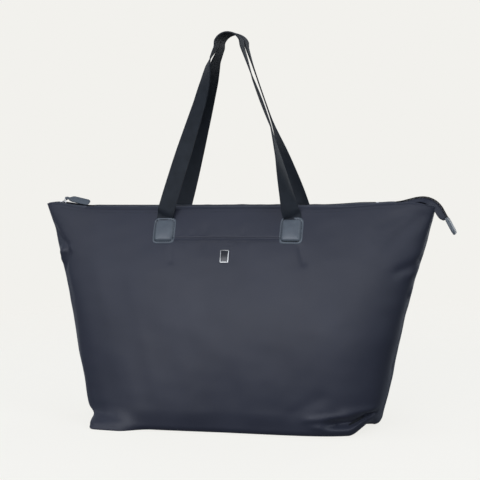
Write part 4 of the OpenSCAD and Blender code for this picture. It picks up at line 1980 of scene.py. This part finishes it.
@dataclass(frozen=True)
class Softbox:
    """A soft panel light.

    Attributes:
        name: Its name.
        azimuth: Degrees round the bag; 0 is in front, 90 on its right.
        elevation: Degrees above the floor.
        distance: From the bag.
        size: Width and height.
        power: In watts.
        colour: Its tint.
    """

    name: str
    azimuth: float
    elevation: float
    distance: float
    size: tuple[float, float]
    power: float
    colour: tuple[float, float, float] = (1, 1, 1)

    def hang(self, aim: Vector) -> None:
        """Hangs the light, facing a point.

        Args:
            aim: The point.
        """
        back = toward(self.azimuth, self.elevation)
        data = bpy.data.lights.new(self.name, "AREA")
        data.shape, data.energy, data.color = "RECTANGLE", self.power, self.colour
        data.size, data.size_y = self.size
        lamp = bpy.data.objects.new(self.name, data)
        bpy.context.scene.collection.objects.link(lamp)
        lamp.location = aim + back * self.distance
        lamp.rotation_mode = "QUATERNION"
        lamp.rotation_quaternion = back.to_track_quat("Z", "Y")
        lamp.visible_camera = False


@dataclass(frozen=True)
class Studio:
    """The camera, the soft lights and the plain pale floor.

    Attributes:
        azimuth: The camera's place round the bag, in degrees.
        elevation: Its height above the horizon, in degrees.
        distance: From the point that it looks at.
        lens: Its focal length in millimetres.
        roll: How far it is turned clockwise, in degrees.
        aim: The point that it looks at.
        paper: Colour of the floor and the background.
        fill_span: Upward part of a direction at which the fill light starts and ends growing.
        fill_strength: The fill light's strength at those two.
        floor_glow: The floor's own light.
        lights: The soft panel lights.
    """

    azimuth: float = 15.5
    elevation: float = 5.0
    distance: float = 1.70
    lens: float = 86.6
    roll: float = 0.9
    aim: tuple[float, float, float] = (0.0072, 0.0020, 0.269)
    paper: tuple[float, float, float] = (0.888, 0.880, 0.847)
    fill_span: tuple[float, float] = (-0.35, 0.25)
    fill_strength: tuple[float, float] = (0.05, 0.26)
    floor_glow: float = 0.91
    lights: tuple[Softbox, ...] = (
        Softbox("front_box", -8, 14, 2.2, (2.3, 1.2), 31.5, (0.95, 0.975, 1.04)),
        Softbox("right_rim", 152, 14, 2.0, (0.9, 1.8), 8, (0.90, 0.95, 1.0)),
        Softbox("left_rim", -128, 10, 2.0, (0.9, 1.8), 4, (0.90, 0.95, 1.0)),
        Softbox("right_side", 62, 26, 1.9, (0.8, 1.1), 7, (0.88, 0.95, 1.0)),
        Softbox("left_side", -68, 20, 2.0, (0.7, 1.1), 3, (0.88, 0.95, 1.0)),
        Softbox("top_box", 0, 82, 1.7, (1.2, 0.6), 2, (0.97, 0.98, 1.0)),
    )

    def build(self) -> None:
        """Sets up the scene."""
        self.shoot()
        for light in self.lights:
            light.hang(Vector((0, 0, 0.2)))
        self.world()
        self.floor()

    def shoot(self) -> None:
        """Places the camera."""
        back = toward(self.azimuth, self.elevation)
        data = bpy.data.cameras.new("camera")
        data.lens, data.sensor_width = self.lens, 36
        data.clip_start, data.clip_end = 0.05, 60
        camera = bpy.data.objects.new("camera", data)
        bpy.context.scene.collection.objects.link(camera)
        camera.location = Vector(self.aim) + back * self.distance
        camera.rotation_mode = "QUATERNION"
        turn = Quaternion((0, 0, 1), -math.radians(self.roll))
        camera.rotation_quaternion = back.to_track_quat("Z", "Y") @ turn
        bpy.context.scene.camera = camera
        bpy.context.scene.view_settings.view_transform = "Standard"
        bpy.context.scene.view_settings.look = "None"

    def world(self) -> None:
        """Paints the background, with only a little light of its own."""
        world = bpy.data.worlds.new("studio")
        bpy.context.scene.world = world
        world.use_nodes = True
        tree = world.node_tree
        seen = tree.nodes["Background"]
        seen.inputs["Color"].default_value = (*self.paper, 1)
        fill = tree.nodes.new("ShaderNodeBackground")
        fill.inputs["Color"].default_value = (0.80, 0.88, 1.0, 1)
        heading = tree.nodes.new("ShaderNodeTexCoord")
        height = tree.nodes.new("ShaderNodeSeparateXYZ")
        tree.links.new(heading.outputs["Generated"], height.inputs[0])
        above = tree.nodes.new("ShaderNodeMapRange")
        for socket, value in zip(above.inputs[1:5], (*self.fill_span, *self.fill_strength)):
            socket.default_value = value
        tree.links.new(height.outputs["Z"], above.inputs["Value"])
        tree.links.new(above.outputs["Result"], fill.inputs["Strength"])
        ray, mix = tree.nodes.new("ShaderNodeLightPath"), tree.nodes.new("ShaderNodeMixShader")
        tree.links.new(ray.outputs["Is Camera Ray"], mix.inputs["Fac"])
        tree.links.new(fill.outputs[0], mix.inputs[1])
        tree.links.new(seen.outputs[0], mix.inputs[2])
        tree.links.new(mix.outputs[0], tree.nodes["World Output"].inputs["Surface"])

    def floor(self) -> None:
        """Lays the floor: it takes a faint shadow, and fades into the background."""
        Bench.deselect()
        bpy.ops.mesh.primitive_circle_add(vertices=96, radius=3, fill_type="NGON")
        obj = bpy.context.object
        obj.name = "studio_floor"
        Bench.write(obj, Bench.read(obj) - [0, 0, 0.0004])
        s = Shader("floor_paper")
        tree = s.tree
        glow = s.node("ShaderNodeEmission", In_Color=(*self.paper, 1), In_Strength=self.floor_glow)
        matt = s.node("ShaderNodeBsdfDiffuse", In_Color=(0.16, 0.16, 0.155, 1))
        both, clear = s.node("ShaderNodeAddShader"), s.node("ShaderNodeBsdfTransparent")
        reach = s.node("ShaderNodeTexGradient", gradient_type="SPHERICAL")
        scale = s.node("ShaderNodeMapping", In_Scale=(0.75, 0.75, 0.75))
        ramp = s.node("ShaderNodeMapRange", In_From_Min=0.0, In_From_Max=0.6)
        fade = s.node("ShaderNodeMixShader")
        s.link(s.coordinates("Object"), scale.inputs["Vector"])
        s.link(scale.outputs["Vector"], reach.inputs["Vector"])
        s.link(reach.outputs["Fac"], ramp.inputs["Value"])
        s.link(glow.outputs[0], both.inputs[0])
        s.link(matt.outputs[0], both.inputs[1])
        s.link(ramp.outputs["Result"], fade.inputs["Fac"])
        s.link(clear.outputs[0], fade.inputs[1])
        s.link(both.outputs[0], fade.inputs[2])
        s.link(fade.outputs[0], tree.nodes["Material Output"].inputs["Surface"])
        tree.nodes.remove(s.base)
        obj.data.materials.append(s.material)
        obj.visible_diffuse = obj.visible_glossy = False


FRONT_TWISTS = {
    Hand.LEFT: ((272, 0), (306, 0), (345, 3), (400, 10), (457, 24), (490, 36), (515, 52),
                (535, 74), (550, 90)),
    Hand.RIGHT: ((272, 0), (306, 0), (325, 40), (350, 62), (388, 87), (436, 104), (470, 112),
                 (504, 104), (540, 94), (557, 92)),
}
BACK_TWISTS = {
    Hand.LEFT: ((272, 0), (306, 0), (400, 22), (457, 46), (514, 66), (540, 84), (557, 90)),
    Hand.RIGHT: ((272, 0), (306, 0), (345, 15), (388, 39), (436, 74), (500, 77), (540, 82),
                 (557, 88)),
}
FRONT_BOWS = {Hand.LEFT: ((306, 0), (470, 0), (502, 2), (522, 5), (536, 4.5), (550, 0.5)),
              Hand.RIGHT: ((306, 0), (345, 3), (388, 6.5), (436, 8), (504, 1), (546, 0))}
BACK_BOWS = {Hand.LEFT: ((306, 0), (430, 2), (500, 1.5), (530, 3.5), (550, 0.5)),
             Hand.RIGHT: ((306, 0), (546, 0))}


def main() -> None:
    """Builds the whole bag, in order."""
    logging.basicConfig(level=logging.INFO, format="%(name)s %(message)s")
    Studio().build()
    shop = Workshop()
    shell = Shell(shop)
    shell.build()
    Pocket(shop, shell.skins[Side.FRONT]).build()
    Handle(shop, Side.FRONT, shell.skins[Side.FRONT], FRONT_TWISTS, FRONT_BOWS).build()
    Handle(shop, Side.BACK, shell.skins[Side.BACK], BACK_TWISTS, BACK_BOWS).build()
    TopZip(shop).build()
    ZipTail(shop).build()
    bpy.context.view_layer.update()


if __name__ == "__main__":
    main()
